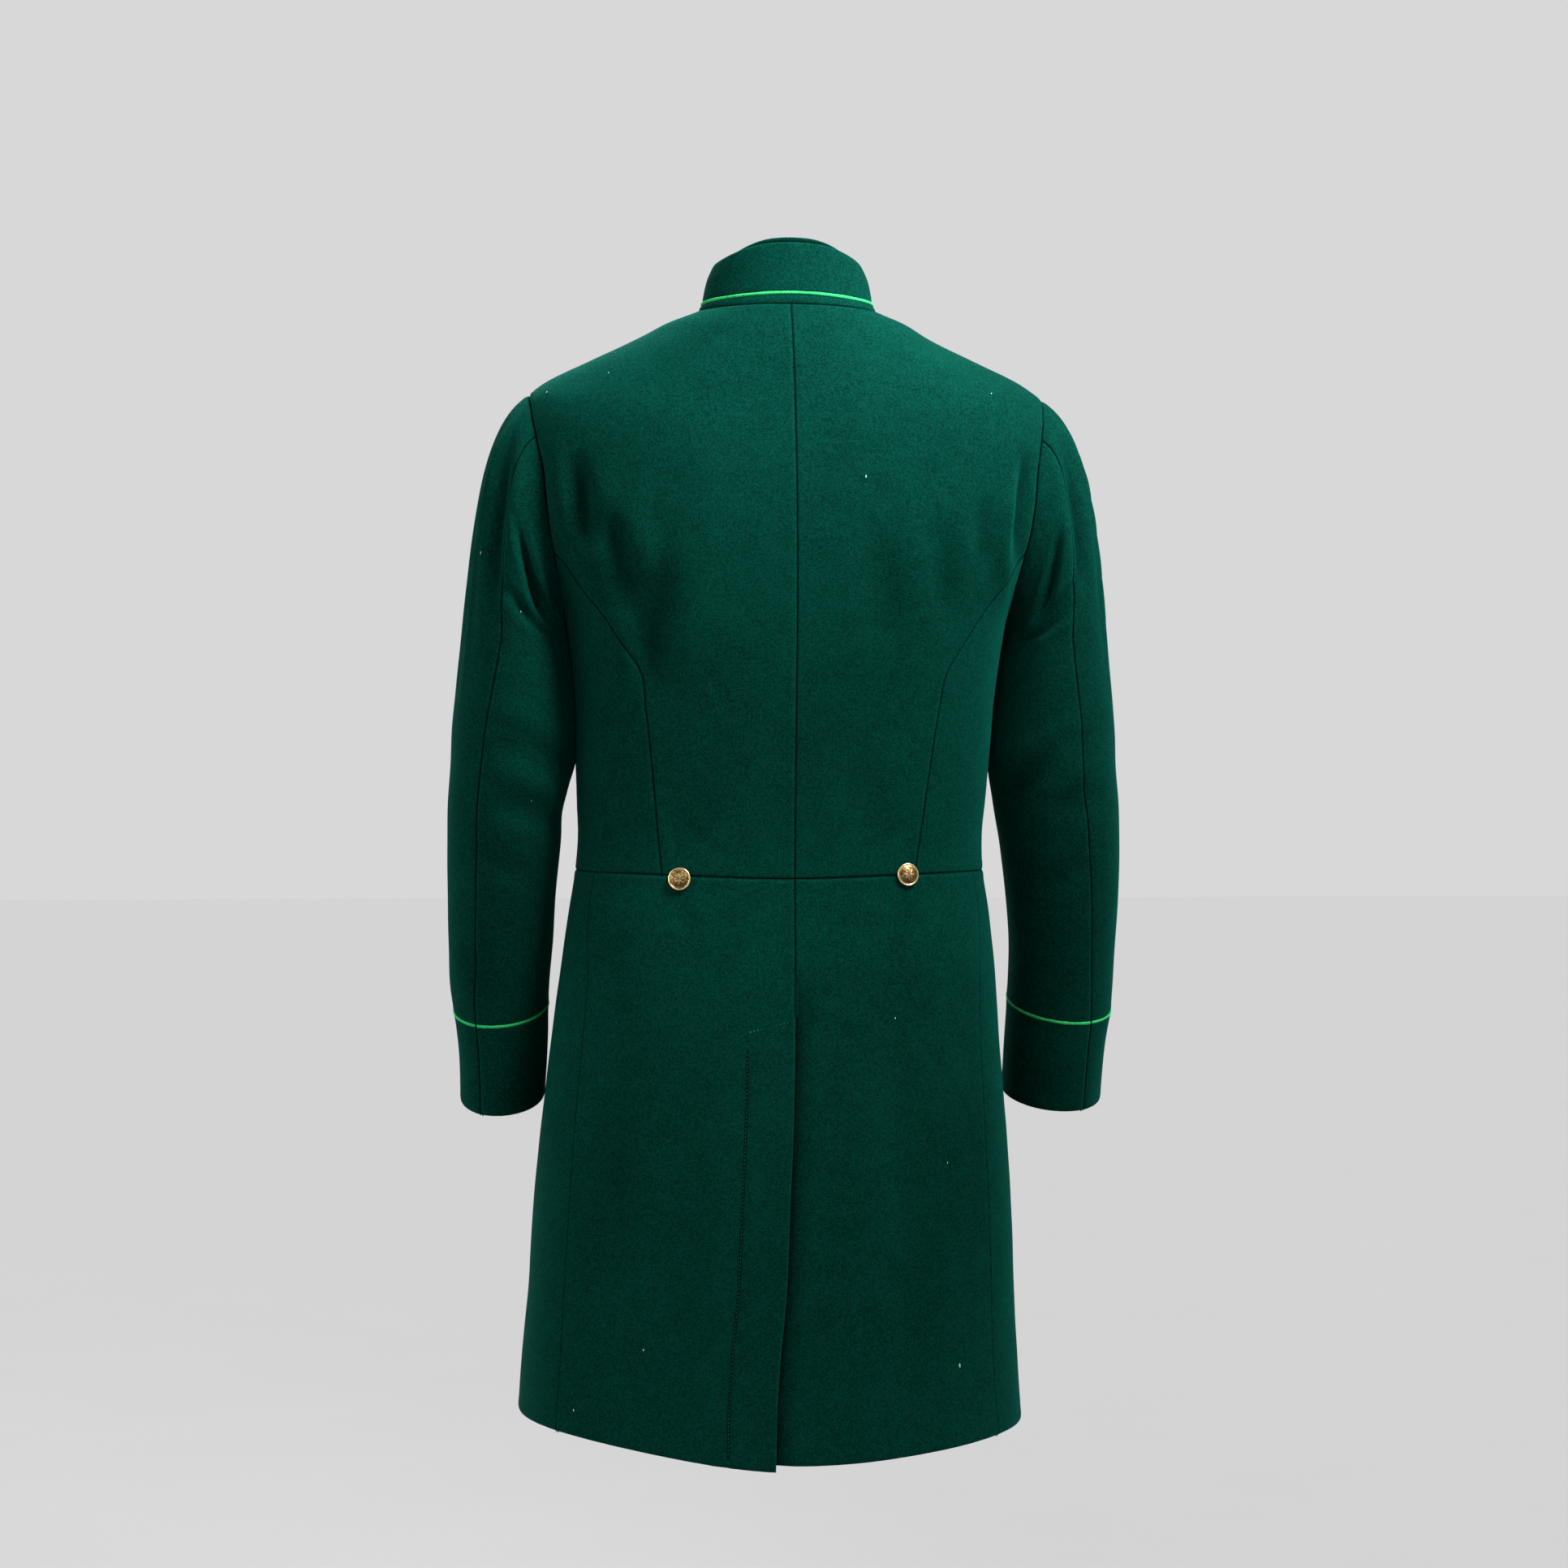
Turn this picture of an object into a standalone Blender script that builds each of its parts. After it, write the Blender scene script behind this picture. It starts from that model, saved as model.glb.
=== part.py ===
"""Military frock coat, worn form: melton wool panels, stand collar, two-piece sleeves, cuffs, piping, buttons.

Sizes are in millimetres in the tables below and become metres when a mesh is made.
+X is the wearer's left, +Y the back, +Z up. The origin lies in the middle of the neck, at the neck seam.
"""
import math

import bmesh
import bpy
import numpy as np

MM = 0.001

# Driving sizes of the cloth and its joins, in millimetres.
CLOTH = 2.0
SEAM_GAP = 0.3
LAP_DEPTH = 3.1
PIPING_RADIUS = 1.6
FRONT_LAP = 18.0
WAIST_LEVEL = 512.0
HEM_LEVEL = 1005.0

# Driving sizes of the back vent.
VENT_TOP_LEVEL = 630.0
VENT_UNDERLAP = 41.0
VENT_SLOPE = 12.0
LEFT_HEM_DROP = 5.0

# Driving sizes of the armhole, an upright oval seen from the side.
SHOULDER_LEVEL = 77.0
UNDERARM_LEVEL = 278.0
ARMHOLE_BACK = 68.0
ARMHOLE_FRONT = 62.0
ARMHOLE_POWER = 2.2
SLEEVE_START = 0.5

# Angles round the armhole where a cloth edge or a seam has a point: 0 is the shoulder tip, 90 the back.
PRINCESS_ANGLE = 114.0
HIND_SEAM_ANGLE = 56.0
FORE_SEAM_ANGLE = 245.0
ARMHOLE_ANGLES = (0, 27, 42, 56, 77, 96, 114, 132, 151, 166, 180, 203, 218, 231, 245, 265, 285, 303, 320, 334, 360)

# Sections of the body and the skirt. The level counts down the side of the coat from the neck seam.
RING_COLUMNS = ("level", "z_back", "z_side", "z_front", "half_width", "y_back", "y_front", "square", "sway", "tilt")
RINGS = (
    (0, 2, 1, -45, 82, 62, 64, 2.00, -2, 0),
    (10, -17, -9, -62, 107.5, 73.5, 77, 2.00, -1, 0),
    (22, -36, -22, -79, 131, 83, 86.5, 1.96, 0, 0),
    (47, -66, -47, -103, 183, 95, 97.5, 1.96, 0, 0),
    (66, -93, -66, -121, 221, 103.3, 104.7, 2.06, 0, 0),
    (77, -108, -77, -131, 234.5, 107.3, 108.5, 2.25, 0, 0),
    (95, -122, -95, -143, 241, 110.7, 112.8, 2.55, 0, 0),
    (120, -140, -120, -158, 242, 114.4, 117.6, 2.80, 0, 0),
    (150, -163, -150, -178, 240, 118, 122.9, 2.85, 0, 0),
    (180, -188, -180, -200, 236, 121, 127.4, 2.90, 0, 0),
    (210, -214, -210, -222, 229, 123, 130.5, 2.90, 0, 0),
    (235, -237, -235, -242, 220, 124, 132, 2.85, 0, 0),
    (255, -256, -255, -260, 211, 124, 132.3, 2.80, 0, 0),
    (278, -278, -278, -281, 203, 123.5, 132, 2.75, 0, 0),
    (300, -300, -300, -302, 199, 122.5, 131, 2.70, 0.3, 0),
    (350, -350, -350, -353, 192.5, 119, 128, 2.60, 1.2, 0),
    (412, -412, -412, -416, 189, 115, 125, 2.55, 2.7, 0),
    (448, -449, -448, -454, 186.8, 113, 123, 2.50, 3.6, 0),
    (477, -479, -476, -484, 185, 112, 121.5, 2.50, 4.5, 0),
    (512, -515, -509, -520, 186.5, 113, 121, 2.50, 5.5, 0),
    (545, -549, -543, -553, 191.7, 118, 124, 2.50, 6, 0),
    (600, -605, -599, -607, 198.8, 128, 131, 2.45, 7, 0),
    (660, -668, -660, -666, 204.8, 137, 138, 2.40, 9, 0),
    (717, -727, -717, -722, 210.3, 144, 144, 2.40, 10.3, 0),
    (829, -842, -828, -833, 219.2, 153, 152, 2.35, 12.2, 1.5),
    (893, -908, -891, -896, 222, 158, 157, 2.35, 13, 3),
    (958, -976, -954, -960, 226.9, 162.5, 161, 2.30, 14.2, 4.5),
    (1005, -1025, -1004, -1009, 230, 166, 165, 2.30, 14.2, 5.5),
)

# Curved seam from the armhole to the waist button, as the distance from the middle of the body.
PRINCESS_COLUMNS = ("level", "reach")
PRINCESS = (
    (222, 211), (250, 193), (280, 170), (308, 151.5), (331, 137.5), (362, 131.5), (410, 125), (455, 119.5), (512, 113),
)

# Side seam of the skirt, as the distance from the middle of the skirt.
SKIRT_SIDE_COLUMNS = ("level", "reach")
SKIRT_SIDE = (
    (512, 172), (560, 174), (660, 179), (730, 184), (800, 188), (866, 191), (960, 195), (1005, 198),
)

# Centre-back line: a seam down to the vent, and then the free edge of the left skirt.
CENTRE_BACK_COLUMNS = ("level", "x")
CENTRE_BACK = (
    (0, 0), (300, 0), (412, 0.6), (512, 1.2), (625, 2.4), (717, 4.9), (800, 9), (868, 12.7), (912, 17.5),
    (955, 21), (1005, 22.5),
)

# Large soft folds of the body and skirt: from one place to another, half width and depth of the trough
# (a ridge has a negative depth). Places are across and up, seen from behind, or from the front.
FOLD_COLUMNS = ("x_start", "z_start", "x_end", "z_end", "half_width", "depth")
BACK_FOLDS = (
    (196, -150, 190, -215, 9, 3.2),
    (208, -130, 205, -190, 8, -2.4),
    (168, -188, 144, -268, 15, 3.0),
    (112, -226, 120, -325, 17, 2.4),
    (-72, -205, -82, -310, 18, 2.0),
    (-132, -215, -136, -285, 14, 2.0),
    (-184, -180, -178, -225, 10, 2.4),
    (-205, -150, -203, -250, 9, -2.0),
    (60, -400, 96, -495, 18, 1.4),
    (-56, -410, -92, -498, 18, 1.4),
    (150, -560, 172, -900, 26, 2.6),
    (88, -640, 96, -980, 28, 2.2),
    (-96, -600, -118, -1000, 30, 2.4),
    (-160, -640, -178, -1010, 24, 3.0),
    (-60, -720, -64, -1020, 22, -1.8),
)
FRONT_FOLDS = (
    (182, -150, 172, -240, 13, 2.8),
    (-182, -145, -170, -235, 13, 2.8),
    (150, -205, 120, -300, 18, 2.2),
    (-150, -200, -122, -310, 18, 2.4),
    (70, -430, 120, -505, 18, 1.6),
    (-66, -425, -116, -504, 18, 1.6),
    (140, -560, 160, -960, 28, 3.0),
    (84, -620, 92, -1000, 26, 2.4),
    (-90, -600, -104, -980, 28, 2.6),
    (-150, -570, -172, -1000, 26, 3.0),
)

# Sections of the sleeves from the upper arm to the hem. Seam angles are those of the hind-arm seam.
SLEEVE_COLUMNS = ("along", "outer_left", "inner_left", "outer_right", "inner_right", "y_middle", "half_depth",
                  "drop_back", "drop_out", "seam_left", "seam_right")
SLEEVE = (
    (300, 296.5, 201.2, 298, 200.6, -2, 72, 0, 0, 75, 83),
    (340, 300.5, 196.4, 302, 195.6, -2, 70, 0, 0, 68, 78),
    (380, 304.5, 194.0, 305.5, 191.0, -3, 68, 2, 0, 62, 73),
    (412, 306, 194.0, 306.5, 188.6, -4, 66, 4, 0, 59, 71),
    (448, 308.5, 202, 310, 194, -8, 63.5, 6, 1, 60, 71),
    (490, 309, 205.5, 312, 201.5, -14, 61, 8, 1, 61, 70),
    (530, 308.5, 209.5, 312.5, 207, -21, 59, 10, 2, 61, 69),
    (575, 307.5, 212, 311, 212, -30, 56.5, 12.5, 3, 60, 67),
    (615, 306, 215, 310, 213, -39, 54.5, 15, 4, 59, 64),
    (636, 303, 216, 309, 212.5, -43, 53.5, 15.5, 4, 58, 62),
    (664, 299.5, 216, 305, 211.5, -47, 52.5, 15.5, 3.5, 57, 60),
    (720, 297, 219, 302, 209.5, -58, 51, 14.5, 2.5, 58, 59),
)
UPPER_ARM = SLEEVE[0][0]
CUFF_TOP = 636.0
CUFF_HEM = 720.0
# For the folds of the sleeves: their mean radius, and an angle that no fold crosses, in radians before the outside.
SLEEVE_RADIUS = 60.0
SLEEVE_CUT = 0.9

# Large folds of the sleeves, in the sleeve's own places: down the sleeve and round it in degrees
# (0 outside, 90 back, 180 against the body, 270 front), half width in millimetres, depth of the trough.
SLEEVE_FOLD_COLUMNS = ("along_start", "angle_start", "along_end", "angle_end", "half_width", "depth")
SLEEVE_FOLDS = {
    "left": (
        (70, 45, 250, 66, 12, 4.0),
        (150, 86, 262, 118, 11, 4.0),
        (215, 70, 290, 128, 10, 2.6),
        (40, 20, 210, 14, 12, 2.0),
        (392, 70, 424, 172, 12, 3.4),
        (440, 84, 462, 176, 10, 2.6),
        (398, 268, 428, 196, 12, 3.6),
        (450, 300, 470, 230, 12, 2.6),
        (90, 318, 250, 290, 13, 3.4),
        (160, 282, 270, 246, 12, 3.4),
        (560, 40, 622, 80, 12, 1.6),
        (575, 300, 625, 262, 12, 1.8),
    ),
    "right": (
        (120, 84, 255, 112, 11, 4.2),
        (70, 50, 230, 70, 12, 2.6),
        (200, 66, 285, 124, 10, 2.4),
        (40, 22, 200, 14, 12, 2.0),
        (404, 96, 446, 150, 11, 3.6),
        (430, 60, 452, 100, 12, 2.0),
        (398, 262, 430, 200, 12, 3.4),
        (446, 296, 474, 232, 12, 2.6),
        (90, 320, 255, 288, 13, 3.2),
        (160, 284, 270, 248, 12, 3.4),
        (565, 44, 620, 84, 12, 1.6),
        (572, 304, 622, 266, 12, 1.8),
    ),
}

# Sections of the collar, from the neck seam to its top edge. The height counts at the side.
COLLAR_COLUMNS = ("height", "z_back", "z_side", "z_front", "half_width", "y_back", "y_front")
COLLAR = (
    (0, 2, 1, -45, 82, 62, 64),
    (9, 11.5, 9.5, -37, 78.4, 58.5, 61),
    (23, 28, 22.5, -24, 76, 55.5, 59),
    (36, 43.5, 34.5, -11, 72.4, 53, 57.5),
    (46, 58.5, 45, 1, 67, 50.5, 56),
)
COLLAR_SWAY = -2.0
COLLAR_PIPING_HEIGHT = 8.2
COLLAR_TOP_HEIGHT = 46.0
FACING_RISE = 3.2
COLLAR_END_GAP = 1.2

# Buttons: domed metal with a raised rim, turned about their middle. Profile from the back to the top.
BUTTON_PROFILE = ((8.6, 0.0), (10.2, 1.0), (9.7, 2.4), (8.5, 2.1), (5.6, 3.4), (2.6, 4.0))
BUTTON_TOP = 4.15
BUTTON_SIDES = 14
BUTTON_SEAT = 0.6
WAIST_BUTTON_REACH = 101.5
LEFT_BUTTON_DROP = 3.0
FRONT_BUTTONS = 9
FRONT_BUTTON_FIRST = 22.0
FRONT_BUTTON_LAST = 490.0

CLOTH_COLOUR = (0.0035, 0.062, 0.046, 1.0)
PIPING_COLOUR = (0.022, 0.42, 0.12, 1.0)
BUTTON_COLOUR = (0.42, 0.31, 0.14, 1.0)


def read_table(columns, rows, at, name):
    """Value of a column at a place along the table's first column, on a smooth curve through the rows."""
    keys = np.array([row[0] for row in rows], dtype=float)
    values = np.array([row[columns.index(name)] for row in rows], dtype=float)
    slopes = np.gradient(values, keys)
    at = np.asarray(at, dtype=float)
    inside = np.clip(at, keys[0], keys[-1])
    low = np.clip(np.searchsorted(keys, inside, side="right") - 1, 0, len(keys) - 2)
    span = keys[low + 1] - keys[low]
    t = (inside - keys[low]) / span
    rise = t * t * (3 - 2 * t)
    start = t * (1 - t) ** 2 * span * slopes[low]
    end = t * t * (t - 1) * span * slopes[low + 1]
    beyond = (at - inside) * np.where(at < inside, slopes[0], slopes[-1])
    return values[low] * (1 - rise) + values[low + 1] * rise + start + end + beyond


def smooth_step(value, low, high):
    t = np.clip((np.asarray(value, dtype=float) - low) / (high - low), 0, 1)
    return t * t * (3 - 2 * t)


def unit(vectors):
    return vectors / np.maximum(np.linalg.norm(vectors, axis=-1, keepdims=True), 1e-9)


def fold_depth(folds, columns, across, down, names):
    """Depth of all folds of a table at places on a surface, in millimetres. Names are the places' columns."""
    ends = [columns.index(f"{name}_{end}") for end in ("start", "end") for name in names]
    wide, deep = columns.index("half_width"), columns.index("depth")
    depth = np.zeros(np.broadcast(across, down).shape)
    for fold in folds:
        a0, d0, a1, d1 = (fold[end] for end in ends)
        long = math.hypot(a1 - a0, d1 - d0)
        along = ((across - a0) * (a1 - a0) + (down - d0) * (d1 - d0)) / long ** 2
        aside = ((across - a0) * (d1 - d0) - (down - d0) * (a1 - a0)) / long
        taper = smooth_step(along, -0.15, 0.3) * (1 - smooth_step(along, 0.7, 1.15))
        depth = depth + fold[deep] * taper * np.exp(-(aside / fold[wide]) ** 2)
    return depth


# Body and skirt: one skin, from which every panel is cut.

def ring_value(level, name):
    return read_table(RING_COLUMNS, RINGS, level, name)


def plain_skin(level, turn):
    """Outer skin without folds. The turn goes from centre back (0) by the left side to centre front (pi)."""
    back, side = np.cos(turn), np.sin(turn)
    deep = np.where(back >= 0, ring_value(level, "y_back"), ring_value(level, "y_front"))
    power = ring_value(level, "square")
    reach = (np.abs(side / ring_value(level, "half_width")) ** power + np.abs(back / deep) ** power) ** (-1 / power)
    end = np.where(back >= 0, ring_value(level, "z_back"), ring_value(level, "z_front"))
    z_side = ring_value(level, "z_side")
    z = z_side + (end - z_side) * back ** 2 + ring_value(level, "tilt") * side
    return np.stack(np.broadcast_arrays(ring_value(level, "sway") + reach * side, reach * back, z), axis=-1)


def normals_of(surface, first, second, first_step, second_step):
    """Outward normals of a surface of two values, by small differences."""
    along_first = surface(first + first_step, second) - surface(first - first_step, second)
    along_second = surface(first, second + second_step) - surface(first, second - second_step)
    return unit(np.cross(along_second, along_first))


def coat_skin(level, turn):
    """Outer skin with the large folds of the back and front."""
    level, turn = np.broadcast_arrays(np.asarray(level, dtype=float), np.asarray(turn, dtype=float))
    points = plain_skin(level, turn)
    outward = normals_of(plain_skin, level, turn, 0.5, 0.002)
    x, y, z = points[..., 0], points[..., 1], points[..., 2]
    back = fold_depth(BACK_FOLDS, FOLD_COLUMNS, x, z, "xz") * smooth_step(y, 5, 45)
    front = fold_depth(FRONT_FOLDS, FOLD_COLUMNS, x, z, "xz") * smooth_step(-y, 5, 45)
    return points - outward * (back + front)[..., None]


def turn_at(level, x, face):
    """Turn of the point of a ring that lies x from the middle of the neck, on the back or the front."""
    across = np.asarray(x, dtype=float) - ring_value(level, "sway")
    power = ring_value(level, "square")
    deep = ring_value(level, "y_back" if face == "back" else "y_front")
    share = np.clip(np.abs(across) / ring_value(level, "half_width"), 0, 1)
    y = deep * (1 - share ** power) ** (1 / power)
    if face == "back":
        return np.arctan2(across, y)
    return np.mod(np.arctan2(across, -y), 2 * math.pi)


def armhole_level(angle):
    """Level of the armhole edge at an angle round it, in radians from the shoulder tip."""
    middle = (SHOULDER_LEVEL + UNDERARM_LEVEL) / 2
    half = (UNDERARM_LEVEL - SHOULDER_LEVEL) / 2
    cosine = np.cos(angle)
    return middle - half * np.sign(cosine) * np.abs(cosine) ** (2 / ARMHOLE_POWER)


def armhole_turn(angle):
    """Turn, on the left side of the body, of the armhole edge at an angle round it."""
    level = armhole_level(angle)
    sine = np.sin(angle)
    wide = np.where(sine >= 0, ARMHOLE_BACK, ARMHOLE_FRONT)
    y = wide * np.sign(sine) * np.abs(sine) ** (2 / ARMHOLE_POWER)
    deep = np.where(y >= 0, ring_value(level, "y_back"), ring_value(level, "y_front"))
    power = ring_value(level, "square")
    x = ring_value(level, "half_width") * (1 - np.abs(y / deep) ** power) ** (1 / power)
    return np.arctan2(x, y)


# Building walls of cloth from grids of points.

def finish(name, colour, roughness, metallic):
    material = bpy.data.materials.new(name)
    material.use_nodes = True
    shader = material.node_tree.nodes["Principled BSDF"]
    shader.inputs["Base Color"].default_value = colour
    shader.inputs["Roughness"].default_value = roughness
    shader.inputs["Metallic"].default_value = metallic
    material.diffuse_color = colour
    return material


def add_object(name, vertices, faces, colour, roughness=0.9, metallic=0.0, sharp=50.0):
    """One closed solid with its faces outwards, in metres."""
    mesh = bpy.data.meshes.new(name)
    model = bmesh.new()
    made = [model.verts.new(vertex) for vertex in vertices]
    for face in faces:
        model.faces.new([made[corner] for corner in face])
    bmesh.ops.recalc_face_normals(model, faces=model.faces)
    model.to_mesh(mesh)
    model.free()
    mesh.shade_smooth()
    mesh.set_sharp_from_angle(angle=math.radians(sharp))
    mesh.materials.append(finish(name, colour, roughness, metallic))
    item = bpy.data.objects.new(name, mesh)
    bpy.context.collection.objects.link(item)
    return item


def add_wall(name, outer, inner, colour=CLOTH_COLOUR, kept=None):
    """A wall between two grids of points. Where kept is given, only those cells of the grid are cloth."""
    rows, columns = outer.shape[:2]
    if kept is None:
        kept = np.ones((rows - 1, columns - 1), dtype=bool)
    numbers = {}
    vertices = []

    def corner(layer, row, column):
        key = (layer, row, column)
        if key not in numbers:
            numbers[key] = len(vertices)
            grid = outer if layer == 0 else inner
            vertices.append(tuple(grid[row, column] * MM))
        return numbers[key]

    faces = []
    edges = {}
    for row in range(rows - 1):
        for column in range(columns - 1):
            if not kept[row, column]:
                continue
            loop = ((row, column), (row, column + 1), (row + 1, column + 1), (row + 1, column))
            for half in (loop[:3], (loop[0], loop[2], loop[3])):
                faces.append([corner(0, *place) for place in half])
                faces.append([corner(1, *place) for place in reversed(half)])
            for start, end in zip(loop, loop[1:] + loop[:1]):
                if (end, start) in edges:
                    del edges[(end, start)]
                else:
                    edges[(start, end)] = True
    for start, end in edges:
        if start < end:
            faces.append([corner(0, *end), corner(0, *start), corner(1, *end)])
            faces.append([corner(0, *start), corner(1, *start), corner(1, *end)])
        else:
            faces.append([corner(0, *end), corner(0, *start), corner(1, *start)])
            faces.append([corner(0, *end), corner(1, *start), corner(1, *end)])
    return add_object(name, vertices, faces, colour)


def add_panel(name, level, turn, side, sunk=None, kept=None):
    """A panel of the body or skirt from grids of levels and turns. The right side mirrors the turn."""
    turn = turn if side == "left" else 2 * math.pi - turn
    points = coat_skin(level, turn)
    outward = normals_of(coat_skin, level, turn, 8.0, 0.05)
    if sunk is not None:
        points = points - outward * sunk[..., None]
    inner = points - outward * CLOTH
    return add_wall(name, points, inner, kept=kept)


def skin_radius(level, turn):
    return np.hypot(*np.moveaxis(plain_skin(level, turn)[..., :2], -1, 0))


def inset(level, turn, top=True, bottom=True, start=True, end=True):
    """Draws the edges of a grid of levels and turns in by half a seam gap."""
    level = level.copy()
    turn = turn.copy()
    round_gap = SEAM_GAP / 2 / skin_radius(level, turn)
    if start:
        turn[:, 0] += round_gap[:, 0] * np.sign(turn[:, -1] - turn[:, 0])
    if end:
        turn[:, -1] -= round_gap[:, -1] * np.sign(turn[:, -1] - turn[:, 0])
    if top:
        level[0] += SEAM_GAP / 2
    if bottom:
        level[-1] -= SEAM_GAP / 2
    return level, turn


def between(low, high, shares):
    """Grid whose row i runs from low[i] to high[i]."""
    low = np.asarray(low, dtype=float)[:, None]
    high = np.asarray(high, dtype=float)[:, None]
    return low + (high - low) * np.asarray(shares)[None, :]


def shares_along(edge):
    """Shares of the length of an edge at its points. An edge holds rows of level and turn."""
    points = plain_skin(edge[:, 0], edge[:, 1])
    steps = np.linalg.norm(np.diff(points, axis=0), axis=1)
    return np.concatenate([[0], np.cumsum(steps)]) / steps.sum()


def fill_between(start, end, shares):
    """Levels and turns of rows from points of one edge to points of another, at shares of each row's length."""
    share = np.linspace(0, 1, 61)
    level = end[:, :1] + (start[:, :1] - end[:, :1]) * (1 - share) ** 2.5
    turn = start[:, 1:] + (end[:, 1:] - start[:, 1:]) * share
    steps = np.linalg.norm(np.diff(plain_skin(level, turn), axis=1), axis=2)
    gone = np.concatenate([np.zeros((len(start), 1)), np.cumsum(steps, axis=1)], axis=1)
    at = [np.interp(np.array(shares) * row[-1], row, share) for row in gone]
    level = np.array([np.interp(places, share, row) for places, row in zip(at, level)])
    return level, np.array([np.interp(places, share, row) for places, row in zip(at, turn)])


# Places across and down the panels at which they have their points.
COLUMN_SHARES = {
    "back": (0, 0.17, 0.34, 0.5, 0.65, 0.79, 0.91, 1),
    "front": (0, 0.06, 0.12, 0.18, 0.28, 0.42, 0.56, 0.7, 0.83, 0.93, 1),
}
SHOULDER_LEVELS = (0.0, 15.0, 31.0, 47.0, 62.0, SHOULDER_LEVEL)
BACK_ARMHOLE = np.radians([angle for angle in ARMHOLE_ANGLES if 0 < angle < PRINCESS_ANGLE])
SIDE_ARMHOLE = np.radians([angle for angle in ARMHOLE_ANGLES if PRINCESS_ANGLE <= angle <= 180])
FRONT_ARMHOLE = np.radians([angle for angle in reversed(ARMHOLE_ANGLES) if 180 < angle < 360])
LOWER_SHARES = np.linspace(0, 1, 8)
PRINCESS_LEVEL = float(armhole_level(math.radians(PRINCESS_ANGLE)))
PRINCESS_ROWS = PRINCESS_LEVEL + (WAIST_LEVEL - PRINCESS_LEVEL) * LOWER_SHARES
SIDE_ROWS = UNDERARM_LEVEL + (WAIST_LEVEL - UNDERARM_LEVEL) * LOWER_SHARES
SIDE_SEAM_TURN = float(armhole_turn(math.pi))


def signed(side, value):
    return value if side == "left" else -value


def edge_rows(level, turn):
    level = np.asarray(level, dtype=float)
    return np.stack([level, np.broadcast_to(turn, level.shape)], axis=1)


def centre_back_turn(level, side):
    """Turn of the centre-back line as the given side counts it."""
    turn = turn_at(level, read_table(CENTRE_BACK_COLUMNS, CENTRE_BACK, level, "x"), "back")
    return signed(side, turn)


def front_edge_turn(level, side):
    """Turn of the free front edge, which passes the centre front by the lap."""
    turn = turn_at(level, -FRONT_LAP if side == "left" else FRONT_LAP, "front")
    return turn if side == "left" else 2 * math.pi - turn


def princess_turn(level):
    reach = read_table(PRINCESS_COLUMNS, PRINCESS, level, "reach")
    own = turn_at(level, ring_value(level, "sway") + reach, "back")
    at_armhole = armhole_turn(math.radians(PRINCESS_ANGLE))
    blend = smooth_step(level, PRINCESS_LEVEL, PRINCESS_LEVEL + 12)
    return at_armhole * (1 - blend) + own * blend


def bodice_grid(face, side):
    """Levels and turns of a back or front, from the neck to the waist and from the centre to its sides."""
    shoulder = edge_rows(SHOULDER_LEVELS, math.pi / 2)
    if face == "back":
        armhole = edge_rows(armhole_level(BACK_ARMHOLE), armhole_turn(BACK_ARMHOLE))
        lower = edge_rows(PRINCESS_ROWS, princess_turn(PRINCESS_ROWS))
        centre_turn = centre_back_turn
    else:
        armhole = edge_rows(armhole_level(FRONT_ARMHOLE), armhole_turn(FRONT_ARMHOLE))
        lower = edge_rows(SIDE_ROWS, SIDE_SEAM_TURN)
        centre_turn = front_edge_turn
    end = np.concatenate([shoulder, armhole, lower])
    centre_level = shares_along(end) * WAIST_LEVEL
    start = edge_rows(centre_level, centre_turn(centre_level, side))
    return fill_between(start, end, COLUMN_SHARES[face])


def lap_sunk(level, turn, side):
    """How far the right front lies under the left one near the centre front."""
    if side == "left":
        return None
    x = plain_skin(level, 2 * math.pi - turn)[..., 0]
    return LAP_DEPTH * smooth_step(x, -FRONT_LAP - 34, -FRONT_LAP - 8)


def add_back(side):
    """Half back: shoulder seam, armhole and curved seam on one side, centre-back seam on the other."""
    level, turn = inset(*bodice_grid("back", side))
    return add_panel(f"back_{side}", level, turn, side)


def add_front(side):
    """Front: shoulder seam, armhole and side seam on one side, free lapped edge on the other."""
    level, turn = inset(*bodice_grid("front", side), start=False)
    return add_panel(f"front_{side}", level, turn, side, lap_sunk(level, turn, side))


def add_side_body(side):
    """Side body: under the armhole, between the curved seam and the side seam."""
    shares = (np.degrees(SIDE_ARMHOLE) - PRINCESS_ANGLE) / (180 - PRINCESS_ANGLE)
    rest = 1 - LOWER_SHARES[:, None]
    level = PRINCESS_ROWS[:, None] * (1 - shares) + SIDE_ROWS[:, None] * shares
    level += rest * (armhole_level(SIDE_ARMHOLE) - level[0])
    turn = princess_turn(PRINCESS_ROWS)[:, None] * (1 - shares) + SIDE_SEAM_TURN * shares
    turn += rest ** 2 * (armhole_turn(SIDE_ARMHOLE) - turn[0])
    level, turn = inset(level, turn)
    return add_panel(f"side_body_{side}", level, turn, side)


SKIRT_ROWS = (WAIST_LEVEL, 545.0, 585.0, VENT_TOP_LEVEL, VENT_TOP_LEVEL + VENT_SLOPE, 685.0, 730.0, 780.0, 830.0,
              885.0, 945.0, HEM_LEVEL)
SKIRT_SEAM_COLUMN = 2


def skirt_side_turn(level):
    """Turn of the side seam of the skirt, which starts at a point of the side body's lower edge."""
    reach = read_table(SKIRT_SIDE_COLUMNS, SKIRT_SIDE, level, "reach")
    own = turn_at(level, ring_value(level, "sway") + reach, "back")
    blend = smooth_step(level, WAIST_LEVEL, WAIST_LEVEL + 100)
    return side_body_waist()[SKIRT_SEAM_COLUMN] * (1 - blend) + own * blend


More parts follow.
